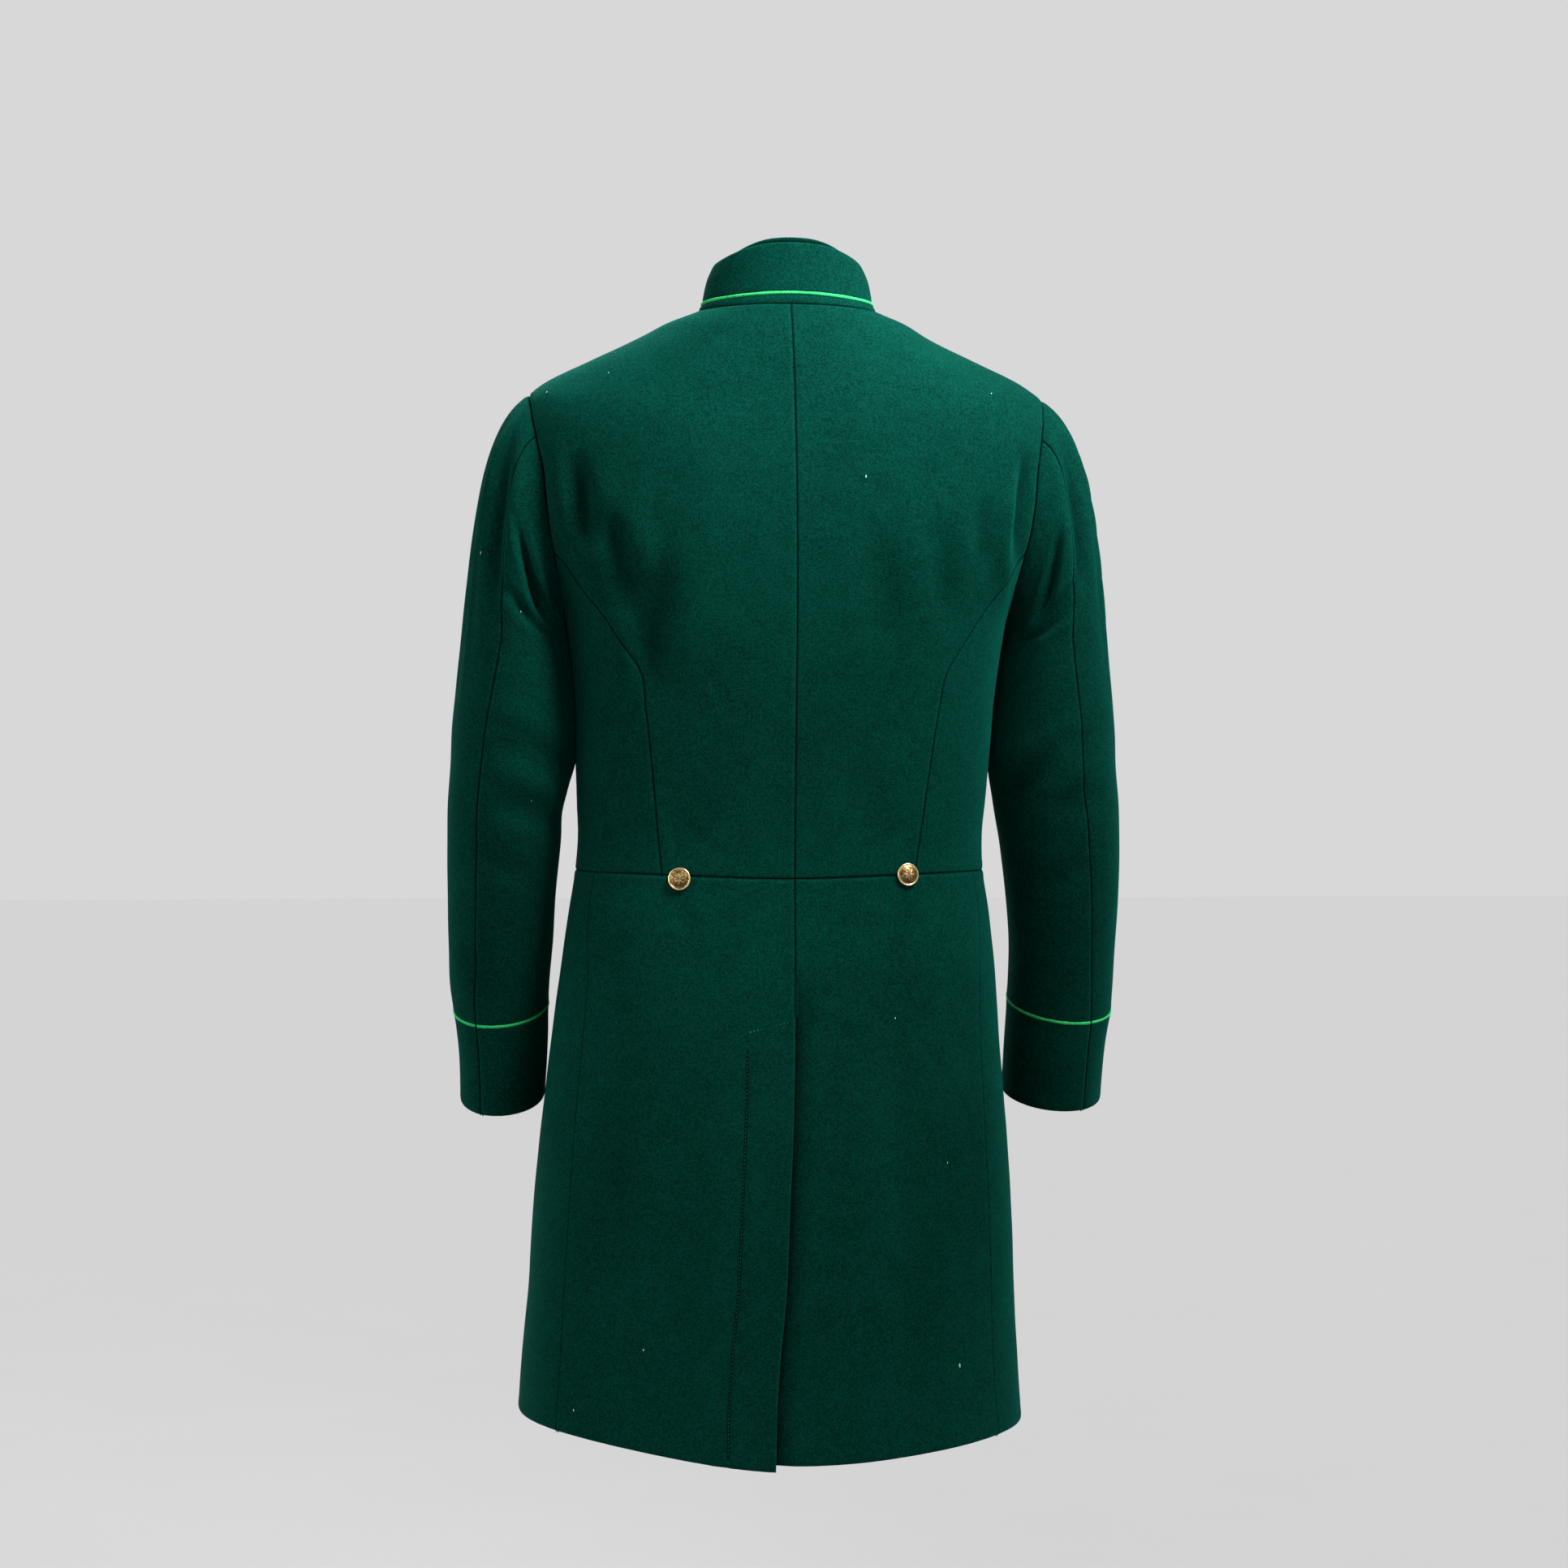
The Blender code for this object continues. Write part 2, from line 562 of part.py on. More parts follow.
def side_body_waist():
    """Turns of the points along the lower edge of the side body."""
    shares = (np.degrees(SIDE_ARMHOLE) - PRINCESS_ANGLE) / (180 - PRINCESS_ANGLE)
    low = float(princess_turn(WAIST_LEVEL))
    return low + (SIDE_SEAM_TURN - low) * shares


def waist_shares(face, side):
    """Shares of a skirt panel's width at which the pieces above it have their points."""
    sides = side_body_waist()
    own = bodice_grid(face, side)[1][-1]
    if face == "back":
        turns = np.concatenate([own, sides[1:SKIRT_SEAM_COLUMN + 1]])
    else:
        turns = np.concatenate([own, sides[SKIRT_SEAM_COLUMN:-1][::-1]])
    return (turns - turns[0]) / (turns[-1] - turns[0])


def vent_sunk(level, x, centre):
    """How far the right back skirt lies under the left one beside the vent."""
    opening = smooth_step(level, VENT_TOP_LEVEL - 45, VENT_TOP_LEVEL - 4)
    return LAP_DEPTH * opening * smooth_step(x, centre - 26, centre - 2)


def add_skirt_back(side):
    """Back skirt: waist seam above, side seam, and centre back with the vent. The right one has the underlap."""
    rows = np.array(SKIRT_ROWS)
    turn = between(centre_back_turn(rows, side), skirt_side_turn(rows), waist_shares("back", side))
    level = np.repeat(rows[:, None], turn.shape[1], axis=1)
    level, turn = inset(level, turn, bottom=False)
    if side == "left":
        level[-1] += LEFT_HEM_DROP * smooth_step(-turn[-1], -turn[-1, -1], -turn[-1, 0])
        return add_panel("skirt_back_left", level, turn, side)
    centre_x = read_table(CENTRE_BACK_COLUMNS, CENTRE_BACK, rows, "x")
    shares = (1.0, 0.66, 0.33)
    under = [-turn_at(rows, centre_x + VENT_UNDERLAP * share, "back") for share in shares]
    turn = np.concatenate([np.stack(under, axis=1), turn], axis=1)
    level = np.concatenate([level[:, :len(shares)], level], axis=1)
    top_row = SKIRT_ROWS.index(VENT_TOP_LEVEL)
    level[top_row, :len(shares)] += VENT_SLOPE * 0.75 * np.array(shares)
    kept = np.ones((len(rows) - 1, turn.shape[1] - 1), dtype=bool)
    kept[:top_row, :len(shares)] = False
    x = plain_skin(level, 2 * math.pi - turn)[..., 0]
    return add_panel("skirt_back_right", level, turn, side, vent_sunk(level, x, centre_x[:, None]), kept)


def add_skirt_front(side):
    """Front skirt: waist seam above, side seam, and the free lapped edge at the centre front."""
    rows = np.array(SKIRT_ROWS)
    turn = between(front_edge_turn(rows, side), skirt_side_turn(rows), waist_shares("front", side))
    level = np.repeat(rows[:, None], turn.shape[1], axis=1)
    level, turn = inset(level, turn, bottom=False, start=False)
    return add_panel(f"skirt_front_{side}", level, turn, side, lap_sunk(level, turn, side))


# Sleeves and cuffs.

def arm_ring(along, angle, side):
    """Sleeve below the upper arm: an oval section that follows the arm forward to the wrist."""
    outer = read_table(SLEEVE_COLUMNS, SLEEVE, along, f"outer_{side}")
    inner = read_table(SLEEVE_COLUMNS, SLEEVE, along, f"inner_{side}")
    back = np.sin(angle)
    out = np.cos(angle)
    x = (outer + inner) / 2 + (outer - inner) / 2 * out
    y = read_table(SLEEVE_COLUMNS, SLEEVE, along, "y_middle")
    y = y + read_table(SLEEVE_COLUMNS, SLEEVE, along, "half_depth") * back
    z = -along - read_table(SLEEVE_COLUMNS, SLEEVE, along, "drop_back") * back
    z = z - read_table(SLEEVE_COLUMNS, SLEEVE, along, "drop_out") * out
    return np.stack(np.broadcast_arrays(signed(side, x), y, z), axis=-1)


def plain_sleeve(along, angle, side):
    """Sleeve skin without folds. Above the upper arm it swings from the armhole edge into the arm."""
    along, angle = np.broadcast_arrays(np.asarray(along, dtype=float), np.asarray(angle, dtype=float))
    below = arm_ring(np.maximum(along, UPPER_ARM), angle, side)
    turn = armhole_turn(angle)
    start = plain_skin(armhole_level(angle), turn if side == "left" else 2 * math.pi - turn)
    outward = np.array((signed(side, 1.0), 0.0, 0.0))
    start = start + outward * SLEEVE_START
    end = arm_ring(np.full(along.shape, UPPER_ARM), angle, side)
    down = unit(arm_ring(np.full(along.shape, UPPER_ARM + 5), angle, side) - end)
    low = ((1 - np.cos(angle)) / 2)[..., None] ** 2
    leave = np.array((signed(side, 0.88), 0, -0.47)) * (1 - low) + np.array((signed(side, 0.22), 0, -0.97)) * low
    leave = leave + np.stack([np.zeros(angle.shape), 0.3 * np.sin(angle), np.zeros(angle.shape)], axis=-1)
    chord = np.linalg.norm(end - start, axis=-1, keepdims=True)
    t = np.clip(along / UPPER_ARM, 0, 1)[..., None]
    rise = t * t * (3 - 2 * t)
    cap = start * (1 - rise) + end * rise
    cap = cap + unit(leave) * chord * 0.65 * t * (1 - t) ** 2 + down * chord * 1.3 * t * t * (t - 1)
    return np.where(along[..., None] < UPPER_ARM, cap, below)


def sleeve_normals(surface, along, angle, side):
    outward = normals_of(lambda first, second: surface(first, second, side), along, angle, 8.0, 0.1)
    return outward if side == "right" else -outward


def sleeve_skin(along, angle, side):
    """Sleeve skin with its large folds."""
    along, angle = np.broadcast_arrays(np.asarray(along, dtype=float), np.asarray(angle, dtype=float))
    points = plain_sleeve(along, angle, side)
    outward = sleeve_normals(plain_sleeve, along, angle, side)
    round_sleeve = (np.mod(angle + SLEEVE_CUT, 2 * math.pi) - SLEEVE_CUT) * SLEEVE_RADIUS
    folds = [(a0, math.radians(t0) * SLEEVE_RADIUS, a1, math.radians(t1) * SLEEVE_RADIUS, wide, deep)
             for a0, t0, a1, t1, wide, deep in SLEEVE_FOLDS[side]]
    depth = fold_depth(folds, SLEEVE_FOLD_COLUMNS, round_sleeve, along, ("angle", "along"))
    return points - outward * depth[..., None]


def seam_angle(along, side, seam):
    """Angle of the hind-arm or fore-arm seam down the sleeve, in radians."""
    along = np.asarray(along, dtype=float)
    if seam == "fore":
        return np.radians(FORE_SEAM_ANGLE) + 0 * along
    below = read_table(SLEEVE_COLUMNS, SLEEVE, np.maximum(along, UPPER_ARM), f"seam_{side}")
    blend = smooth_step(along, 0, UPPER_ARM)
    return np.radians(HIND_SEAM_ANGLE * (1 - blend) + below * blend)


CAP_ROWS = np.array((0, .08, .2, .34, .5, .66, .83, 1)) * UPPER_ARM
ARM_ROWS = np.array((335, 375, 410, 430, 450, 482, 520, 560, 600, CUFF_TOP), dtype=float)
CUFF_ROWS = np.array((CUFF_TOP, 655, 689, CUFF_HEM), dtype=float)
PIPING_BESIDE = PIPING_RADIUS + SEAM_GAP


def sleeve_columns(part):
    """Angles round the armhole of the columns of the top or under sleeve, and their shares between the seams."""
    fore, hind = FORE_SEAM_ANGLE, HIND_SEAM_ANGLE
    if part == "top":
        angles = [a - 360 for a in ARMHOLE_ANGLES if fore <= a < 360] + [a for a in ARMHOLE_ANGLES if a <= hind]
        low, high = fore - 360, hind
    else:
        angles = [a for a in ARMHOLE_ANGLES if hind <= a <= fore]
        low, high = hind, fore
    return (np.array(angles) - low) / (high - low)


def sleeve_grid(rows, part, side):
    fore = seam_angle(rows, side, "fore")
    hind = seam_angle(rows, side, "hind")
    low, high = (fore - 2 * math.pi, hind) if part == "top" else (hind, fore)
    angles = between(low, high, sleeve_columns(part))
    inset = SEAM_GAP / 2 / 55
    angles[:, 0] += inset
    angles[:, -1] -= inset
    return np.repeat(rows[:, None], angles.shape[1], axis=1), angles


def add_sleeve_part(part, side):
    rows = np.concatenate([CAP_ROWS, ARM_ROWS])
    rows[-1] -= PIPING_BESIDE
    along, angle = sleeve_grid(rows, part, side)
    points = sleeve_skin(along, angle, side)
    inner = points - sleeve_normals(sleeve_skin, along, angle, side) * CLOTH
    return add_wall(f"{part}_sleeve_{side}", points, inner)


def add_cuff_part(part, side):
    """Cuff: a plain turned-up band, flush with the sleeve above its piping, of two layers of cloth."""
    rows = CUFF_ROWS.copy()
    rows[0] += PIPING_BESIDE
    along, angle = sleeve_grid(rows, part, side)
    points = sleeve_skin(along, angle, side)
    inner = points - sleeve_normals(sleeve_skin, along, angle, side) * CLOTH * 1.3
    return add_wall(f"cuff_{part}_{side}", points, inner)


def add_cord(name, path, outward, up, colour=PIPING_COLOUR):
    """Piping: a cord of six sides along a path, closed at both ends."""
    sides = 6
    vertices = []
    for centre, out, rise in zip(path, outward, up):
        for number in range(sides):
            turn = 2 * math.pi * number / sides
            vertices.append(tuple((centre + PIPING_RADIUS * (math.cos(turn) * out + math.sin(turn) * rise)) * MM))
    faces = [list(range(sides)), list(range(len(vertices) - sides, len(vertices)))]
    for row in range(len(path) - 1):
        for number in range(sides):
            a, b = row * sides + number, row * sides + (number + 1) % sides
            faces.append([a, b, b + sides, a + sides])
    return add_object(name, vertices, faces, colour, roughness=0.6)


def add_cuff_piping(part, side):
    along, angle = sleeve_grid(np.array((CUFF_TOP,)), part, side)
    outward = sleeve_normals(sleeve_skin, along, angle, side)[0]
    path = sleeve_skin(along, angle, side)[0] - outward * PIPING_RADIUS * 0.55
    rise = unit(sleeve_skin(along - 1, angle, side)[0] - sleeve_skin(along + 1, angle, side)[0])
    return add_cord(f"piping_cuff_{part}_{side}", path, outward, rise)


# Collar.

def collar_skin(height, turn):
    back, side = np.cos(turn), np.sin(turn)

    def value(name):
        return read_table(COLLAR_COLUMNS, COLLAR, height, name)

    deep = np.where(back >= 0, value("y_back"), value("y_front"))
    reach = ((side / value("half_width")) ** 2 + (back / deep) ** 2) ** -0.5
    end = np.where(back >= 0, value("z_back"), value("z_front"))
    z = value("z_side") + (end - value("z_side")) * back ** 2
    return np.stack(np.broadcast_arrays(COLLAR_SWAY + reach * side, reach * back, z), axis=-1)


def collar_normals(height, turn):
    return -normals_of(collar_skin, height, turn, 0.5, 0.004)


COLLAR_TURNS = 28


def collar_grid(heights):
    """Grid of heights and turns from the left end by the back to the right end. The ends part a little above."""
    heights = np.array(heights, dtype=float)
    part = (COLLAR_END_GAP + 3.2 * smooth_step(heights, 20, COLLAR_TOP_HEIGHT)) / 2 / 60
    turns = between(math.pi - part, -math.pi + part, np.linspace(0, 1, COLLAR_TURNS + 1))
    return np.repeat(heights[:, None], turns.shape[1], axis=1), turns


def add_collar_layer(name, heights, depth, thick):
    height, turn = collar_grid(heights)
    outward = collar_normals(height, turn)
    points = collar_skin(height, turn) - outward * depth
    return add_wall(name, points, points - outward * thick)


def add_collar():
    beside = PIPING_RADIUS + SEAM_GAP
    add_collar_layer("collar_foot", (SEAM_GAP, COLLAR_PIPING_HEIGHT - beside), 0, CLOTH)
    add_collar_layer("collar", (COLLAR_PIPING_HEIGHT + beside, 22, 34, COLLAR_TOP_HEIGHT), 0, CLOTH)
    facing = (COLLAR_PIPING_HEIGHT + beside, 22, 34, COLLAR_TOP_HEIGHT + FACING_RISE)
    add_collar_layer("collar_facing", facing, CLOTH + SEAM_GAP + 0.1, CLOTH * 0.75)
    height, turn = collar_grid((COLLAR_PIPING_HEIGHT,))
    outward = collar_normals(height, turn)[0]
    path = collar_skin(height, turn)[0] - outward * PIPING_RADIUS * 0.55
    rise = unit(collar_skin(height + 1, turn)[0] - collar_skin(height - 1, turn)[0])
    add_cord("piping_collar", path, outward, rise)


# Buttons.

def add_button(name, point, outward):
    """Domed button whose back lies just clear of the cloth."""
    outward = unit(outward)
    across = unit(np.cross(outward, (0.0, 0.0, 1.0)))
    rise = np.cross(across, outward)
    middles = (BUTTON_SEAT, BUTTON_SEAT + BUTTON_TOP)
    vertices = [tuple((point + outward * height) * MM) for height in middles]
    for radius, height in BUTTON_PROFILE:
        for number in range(BUTTON_SIDES):
            turn = 2 * math.pi * number / BUTTON_SIDES
            spoke = math.cos(turn) * across + math.sin(turn) * rise
            vertices.append(tuple((point + outward * (BUTTON_SEAT + height) + spoke * radius) * MM))
    faces = []
    last = 2 + (len(BUTTON_PROFILE) - 1) * BUTTON_SIDES
    for number in range(BUTTON_SIDES):
        following = (number + 1) % BUTTON_SIDES
        faces.append([0, 2 + following, 2 + number])
        faces.append([1, last + number, last + following])
        for row in range(len(BUTTON_PROFILE) - 1):
            low, high = 2 + row * BUTTON_SIDES, 2 + (row + 1) * BUTTON_SIDES
            faces.append([low + number, low + following, high + following, high + number])
    return add_object(name, vertices, faces, BUTTON_COLOUR, roughness=0.35, metallic=1.0, sharp=40.0)


def add_buttons():
    for side in ("left", "right"):
        level = WAIST_LEVEL + (LEFT_BUTTON_DROP if side == "left" else 0)
        centre = float(read_table(CENTRE_BACK_COLUMNS, CENTRE_BACK, level, "x"))
        place = np.array(float(turn_at(level, centre + signed(side, WAIST_BUTTON_REACH), "back")))
        add_button(f"waist_button_{side}", coat_skin(level, place),
                   normals_of(coat_skin, level, place, 0.5, 0.002))
    levels = np.linspace(FRONT_BUTTON_FIRST, FRONT_BUTTON_LAST, 200)
    shares = shares_along(edge_rows(levels, math.pi))
    for number in range(FRONT_BUTTONS):
        level = float(np.interp(number / (FRONT_BUTTONS - 1), shares, levels))
        place = np.array(float(turn_at(level, 0.0, "front")))
        add_button(f"front_button_{number + 1}", coat_skin(level, place),
                   normals_of(coat_skin, level, place, 0.5, 0.002))


for old in list(bpy.data.objects):
    bpy.data.objects.remove(old, do_unlink=True)

for SIDE in ("left", "right"):
    add_back(SIDE)
    add_side_body(SIDE)
    add_front(SIDE)
    add_skirt_back(SIDE)
    add_skirt_front(SIDE)
    for PART in ("top", "under"):
        add_sleeve_part(PART, SIDE)
        add_cuff_part(PART, SIDE)
        add_cuff_piping(PART, SIDE)
add_collar()
add_buttons()
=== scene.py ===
import math

import bpy
import numpy as np
from mathutils import Matrix, Vector
from mathutils.kdtree import KDTree


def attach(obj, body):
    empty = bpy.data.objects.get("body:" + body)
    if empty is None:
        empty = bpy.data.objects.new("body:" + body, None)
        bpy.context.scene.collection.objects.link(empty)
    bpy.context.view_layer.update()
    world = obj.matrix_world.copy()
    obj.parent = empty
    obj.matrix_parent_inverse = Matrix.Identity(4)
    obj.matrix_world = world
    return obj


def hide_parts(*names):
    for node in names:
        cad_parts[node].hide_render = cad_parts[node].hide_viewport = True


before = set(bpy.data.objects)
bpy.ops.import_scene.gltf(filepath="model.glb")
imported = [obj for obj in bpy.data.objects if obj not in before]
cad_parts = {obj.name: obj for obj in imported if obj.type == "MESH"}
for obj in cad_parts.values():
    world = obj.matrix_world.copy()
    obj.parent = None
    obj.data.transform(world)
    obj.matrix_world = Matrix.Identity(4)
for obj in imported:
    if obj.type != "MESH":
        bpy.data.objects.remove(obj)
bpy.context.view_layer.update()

# The backs: two panels of thick fulled wool, cut with a shaped middle seam and sewn to each other, to the
# fronts at the shoulders and to the side bodies along a seam that curves down from the armhole to the waist.
# Places are in millimetres. A level counts down the side of the coat from the neck seam, and a turn goes
# round the body from centre back (0) by the left side to centre front (pi).
MM = 0.001
SHOULDER_LEVEL, UNDERARM_LEVEL, WAIST_LEVEL = 77.0, 278.0, 512.0
CLOTH_THICK = 2.0
BODY_COLUMNS = (
    "level", "z_back", "z_side", "z_front", "half_width", "y_back", "y_front", "square", "sway", "tilt",
)
BODY = (
    (0, 2, 1, -45, 82, 62, 64, 2.00, -2, 0),
    (10, -17, -9, -62, 107.5, 73.5, 77, 2.00, -1, 0),
    (22, -36, -22, -79, 131, 83, 86.5, 1.96, 0, 0),
    (47, -66, -47, -103, 183, 95, 97.5, 1.96, 0, 0),
    (66, -93, -66, -121, 221, 103.3, 104.7, 2.06, 0, 0),
    (77, -108, -77, -131, 234.5, 107.3, 108.5, 2.25, 0, 0),
    (95, -122, -95, -143, 241, 110.7, 112.8, 2.55, 0, 0),
    (120, -140, -120, -158, 242, 114.4, 117.6, 2.80, 0, 0),
    (150, -163, -150, -178, 240, 118, 122.9, 2.85, 0, 0),
    (180, -188, -180, -200, 236, 121, 127.4, 2.90, 0, 0),
    (210, -214, -210, -222, 229, 123, 130.5, 2.90, 0, 0),
    (235, -237, -235, -242, 220, 124, 132, 2.85, 0, 0),
    (255, -256, -255, -260, 211, 124, 132.3, 2.80, 0, 0),
    (278, -278, -278, -281, 203, 123.5, 132, 2.75, 0, 0),
    (300, -300, -300, -302, 199, 122.5, 131, 2.70, 0.3, 0),
    (350, -350, -350, -353, 192.5, 119, 128, 2.60, 1.2, 0),
    (412, -412, -412, -416, 189, 115, 125, 2.55, 2.7, 0),
    (448, -449, -448, -454, 186.8, 113, 123, 2.50, 3.6, 0),
    (477, -479, -476, -484, 185, 112, 121.5, 2.50, 4.5, 0),
    (512, -515, -509, -520, 186.5, 113, 121, 2.50, 5.5, 0),
    (545, -549, -543, -553, 191.7, 118, 124, 2.50, 6, 0),
    (600, -605, -599, -607, 198.8, 128, 131, 2.45, 7, 0),
    (660, -668, -660, -666, 204.8, 137, 138, 2.40, 9, 0),
    (717, -727, -717, -722, 210.3, 144, 144, 2.40, 10.3, 0),
    (829, -842, -828, -833, 219.2, 153, 152, 2.35, 12.2, 1.5),
    (893, -908, -891, -896, 222, 158, 157, 2.35, 13, 3),
    (958, -976, -954, -960, 226.9, 162.5, 161, 2.30, 14.2, 4.5),
    (1005, -1025, -1004, -1009, 230, 166, 165, 2.30, 14.2, 5.5),
)
BACK_SEAM_COLUMNS = ("level", "x")
BACK_SEAM = (
    (0, 0), (300, 0), (412, 0.6), (512, 1.2), (625, 2.4), (717, 4.9), (800, 9), (868, 12.7),
    (912, 17.5), (955, 21), (1005, 22.5),
)
CURVED_SEAM_COLUMNS = ("level", "reach")
CURVED_SEAM = (
    (222, 211), (250, 193), (280, 170), (308, 151.5), (331, 137.5), (362, 131.5), (410, 125),
    (455, 119.5), (512, 113),
)
CURVED_SEAM_ANGLE = math.radians(114)

# Creases: from one place to another as across and up, the bow sideways, half the width and the depth of
# the trough. A ridge has a negative depth.
BACK_CREASES = (
    (194, -148, 188, -222, 2, 9, 7.4),
    (212, -128, 207, -196, 1, 8, -2.6),
    (171, -192, 150, -276, 4, 12, 6.2),
    (118, -228, 127, -345, -4, 15, 6.0),
    (92, -150, 140, -215, 5, 22, 1.6),
    (-72, -205, -82, -310, 4, 17, 2.8),
    (-132, -200, -136, -285, -3, 13, 3.2),
    (-174, -175, -170, -240, -2, 10, 2.8),
    (-211, -138, -201, -226, 1, 7, 7.0),
    (-194, -152, -191, -262, 0, 9, -2.8),
    (60, -400, 96, -495, 5, 18, 1.4),
    (-56, -410, -92, -498, -5, 18, 1.4),
    (150, -560, 172, -900, 5, 26, 2.6),
    (88, -640, 96, -980, -6, 28, 2.2),
    (-96, -600, -118, -1000, 6, 30, 2.4),
    (-160, -640, -178, -1010, -5, 24, 3.0),
    (-60, -720, -64, -1020, 0, 22, -1.8),
    (178, -165, 160, -232, 3, 6, 1.0),
    (-168, -196, -160, -262, -3, 6, 1.0),
    (150, -262, 128, -352, 4, 8, 1.0),
    (104, -462, 60, -494, -3, 5, 0.7),
    (-104, -458, -64, -490, 3, 5, 0.7),
    (110, -500, 126, -440, 2, 6, -0.6),
    (-108, -500, -122, -446, -2, 6, -0.6),
    (104, -528, 92, -600, 3, 8, 1.1),
    (-100, -528, -90, -604, -3, 8, 1.1),
    (40, -20, 120, -62, -4, 9, 0.8),
    (-44, -22, -124, -66, 4, 9, 0.8),
)
FRONT_CREASES = (
    (182, -150, 172, -240, 3, 13, 2.8),
    (-182, -145, -170, -235, -3, 13, 2.8),
    (150, -205, 120, -300, 5, 18, 2.2),
    (-150, -200, -122, -310, -5, 18, 2.4),
    (70, -430, 120, -505, 4, 18, 1.6),
    (-66, -425, -116, -504, -4, 18, 1.6),
    (140, -560, 160, -960, 5, 28, 3.0),
    (84, -620, 92, -1000, -5, 26, 2.4),
    (-90, -600, -104, -980, 5, 28, 2.6),
    (-150, -570, -172, -1000, -5, 26, 3.0),
    (196, -170, 178, -232, 3, 6, 1.2),
    (-192, -168, -176, -236, -3, 6, 1.2),
    (30, -456, 84, -486, 3, 6, 0.8),
    (-30, -452, -82, -490, -3, 6, 0.8),
    (40, -70, 110, -150, 6, 12, 1.0),
    (-42, -72, -108, -146, -6, 12, 1.0),
)


def read_table(columns, rows, at, name):
    """Value of a column at a place along the table's first column, on a smooth curve through the rows."""
    keys = np.array([row[0] for row in rows], dtype=float)
    values = np.array([row[columns.index(name)] for row in rows], dtype=float)
    slopes = np.gradient(values, keys)
    at = np.asarray(at, dtype=float)
    inside = np.clip(at, keys[0], keys[-1])
    low = np.clip(np.searchsorted(keys, inside, side="right") - 1, 0, len(keys) - 2)
    span = keys[low + 1] - keys[low]
    t = (inside - keys[low]) / span
    rise = t * t * (3 - 2 * t)
    start = t * (1 - t) ** 2 * span * slopes[low]
    end = t * t * (t - 1) * span * slopes[low + 1]
    beyond = (at - inside) * np.where(at < inside, slopes[0], slopes[-1])
    return values[low] * (1 - rise) + values[low + 1] * rise + start + end + beyond


def smooth_step(value, low, high):
    t = np.clip((np.asarray(value, dtype=float) - low) / (high - low), 0, 1)
    return t * t * (3 - 2 * t)


def unit(vectors):
    return vectors / np.maximum(np.linalg.norm(vectors, axis=-1, keepdims=True), 1e-9)


def body(level, name):
    return read_table(BODY_COLUMNS, BODY, level, name)


def plain_body(level, turn):
    """Outer skin of the body and skirt without creases."""
    back, side = np.cos(turn), np.sin(turn)
    deep = np.where(back >= 0, body(level, "y_back"), body(level, "y_front"))
    power = body(level, "square")
    reach = (np.abs(side / body(level, "half_width")) ** power + np.abs(back / deep) ** power) ** (-1 / power)
    end = np.where(back >= 0, body(level, "z_back"), body(level, "z_front"))
    z_side = body(level, "z_side")
    z = z_side + (end - z_side) * back ** 2 + body(level, "tilt") * side
    return np.stack(np.broadcast_arrays(body(level, "sway") + reach * side, reach * back, z), axis=-1)


def bell(distance, wide, middle=0.0):
    """A smooth bump of height 1 that lies at a distance and fades over a width."""
    return np.exp(-((distance - middle) / wide) ** 2)


FINE_STEPS, BROAD_STEPS = (0.5, 0.002), (3.0, 0.02)


def outward_of(surface, first, second, first_step, second_step):
    along_first = surface(first + first_step, second) - surface(first - first_step, second)
    along_second = surface(first, second + second_step) - surface(first, second - second_step)
    return unit(np.cross(along_second, along_first))


FADE_IN, FADE_OUT = (-0.2, 0.35), (0.65, 1.2)
LIP_AWAY, LIP_HIGH = 2.0, 0.3


def crease_depth(creases, across, up):
    """Depth of soft creases, each a trough between two low lips that fades at both ends."""
    depth = np.zeros(np.broadcast(across, up).shape)
    for a0, u0, a1, u1, bow, wide, deep in creases:
        long = math.hypot(a1 - a0, u1 - u0)
        along = ((across - a0) * (a1 - a0) + (up - u0) * (u1 - u0)) / long ** 2
        aside = ((across - a0) * (u1 - u0) - (up - u0) * (a1 - a0)) / long
        aside = aside - bow * (1 - (2 * along - 1) ** 2)
        fade = smooth_step(along, *FADE_IN) * (1 - smooth_step(along, *FADE_OUT))
        lips = bell(np.abs(aside), wide, LIP_AWAY * wide)
        depth = depth + deep * fade * (bell(aside, wide) - LIP_HIGH * lips)
    return depth


SWELL_HEIGHT = 0.22


def handle_waves(x, y, z):
    """Small uneven swells of cloth that has been worn, in millimetres."""
    swell = np.sin(x / 23 + 0.6 * np.sin(z / 41)) * np.sin(z / 37 + 1.3 + 0.5 * np.sin(x / 31))
    swell = swell + 0.6 * np.sin(x / 11.7 + z / 19.3 + 2.1) * np.sin(z / 15.1 - y / 21 + 0.4)
    return SWELL_HEIGHT * swell


SIDE_BAND = (5, 45)


def body_skin(level, turn):
    """Outer skin of the coat with its creases."""
    level, turn = np.broadcast_arrays(np.asarray(level, dtype=float), np.asarray(turn, dtype=float))
    points = plain_body(level, turn)
    outward = outward_of(plain_body, level, turn, *FINE_STEPS)
    x, y, z = points[..., 0], points[..., 1], points[..., 2]
    depth = crease_depth(BACK_CREASES, x, z) * smooth_step(y, *SIDE_BAND)
    depth = depth + crease_depth(FRONT_CREASES, x, z) * smooth_step(-y, *SIDE_BAND)
    return points + outward * (handle_waves(x, y, z) - depth)[..., None]


def turn_at(level, x, face):
    """Turn of the point of a ring that lies at x, on the back or the front."""
    across = np.asarray(x, dtype=float) - body(level, "sway")
    power = body(level, "square")
    deep = body(level, "y_back" if face == "back" else "y_front")
    share = np.clip(np.abs(across) / body(level, "half_width"), 0, 1)
    y = deep * (1 - share ** power) ** (1 / power)
    if face == "back":
        return np.arctan2(across, y)
    return np.mod(np.arctan2(across, -y), 2 * math.pi)


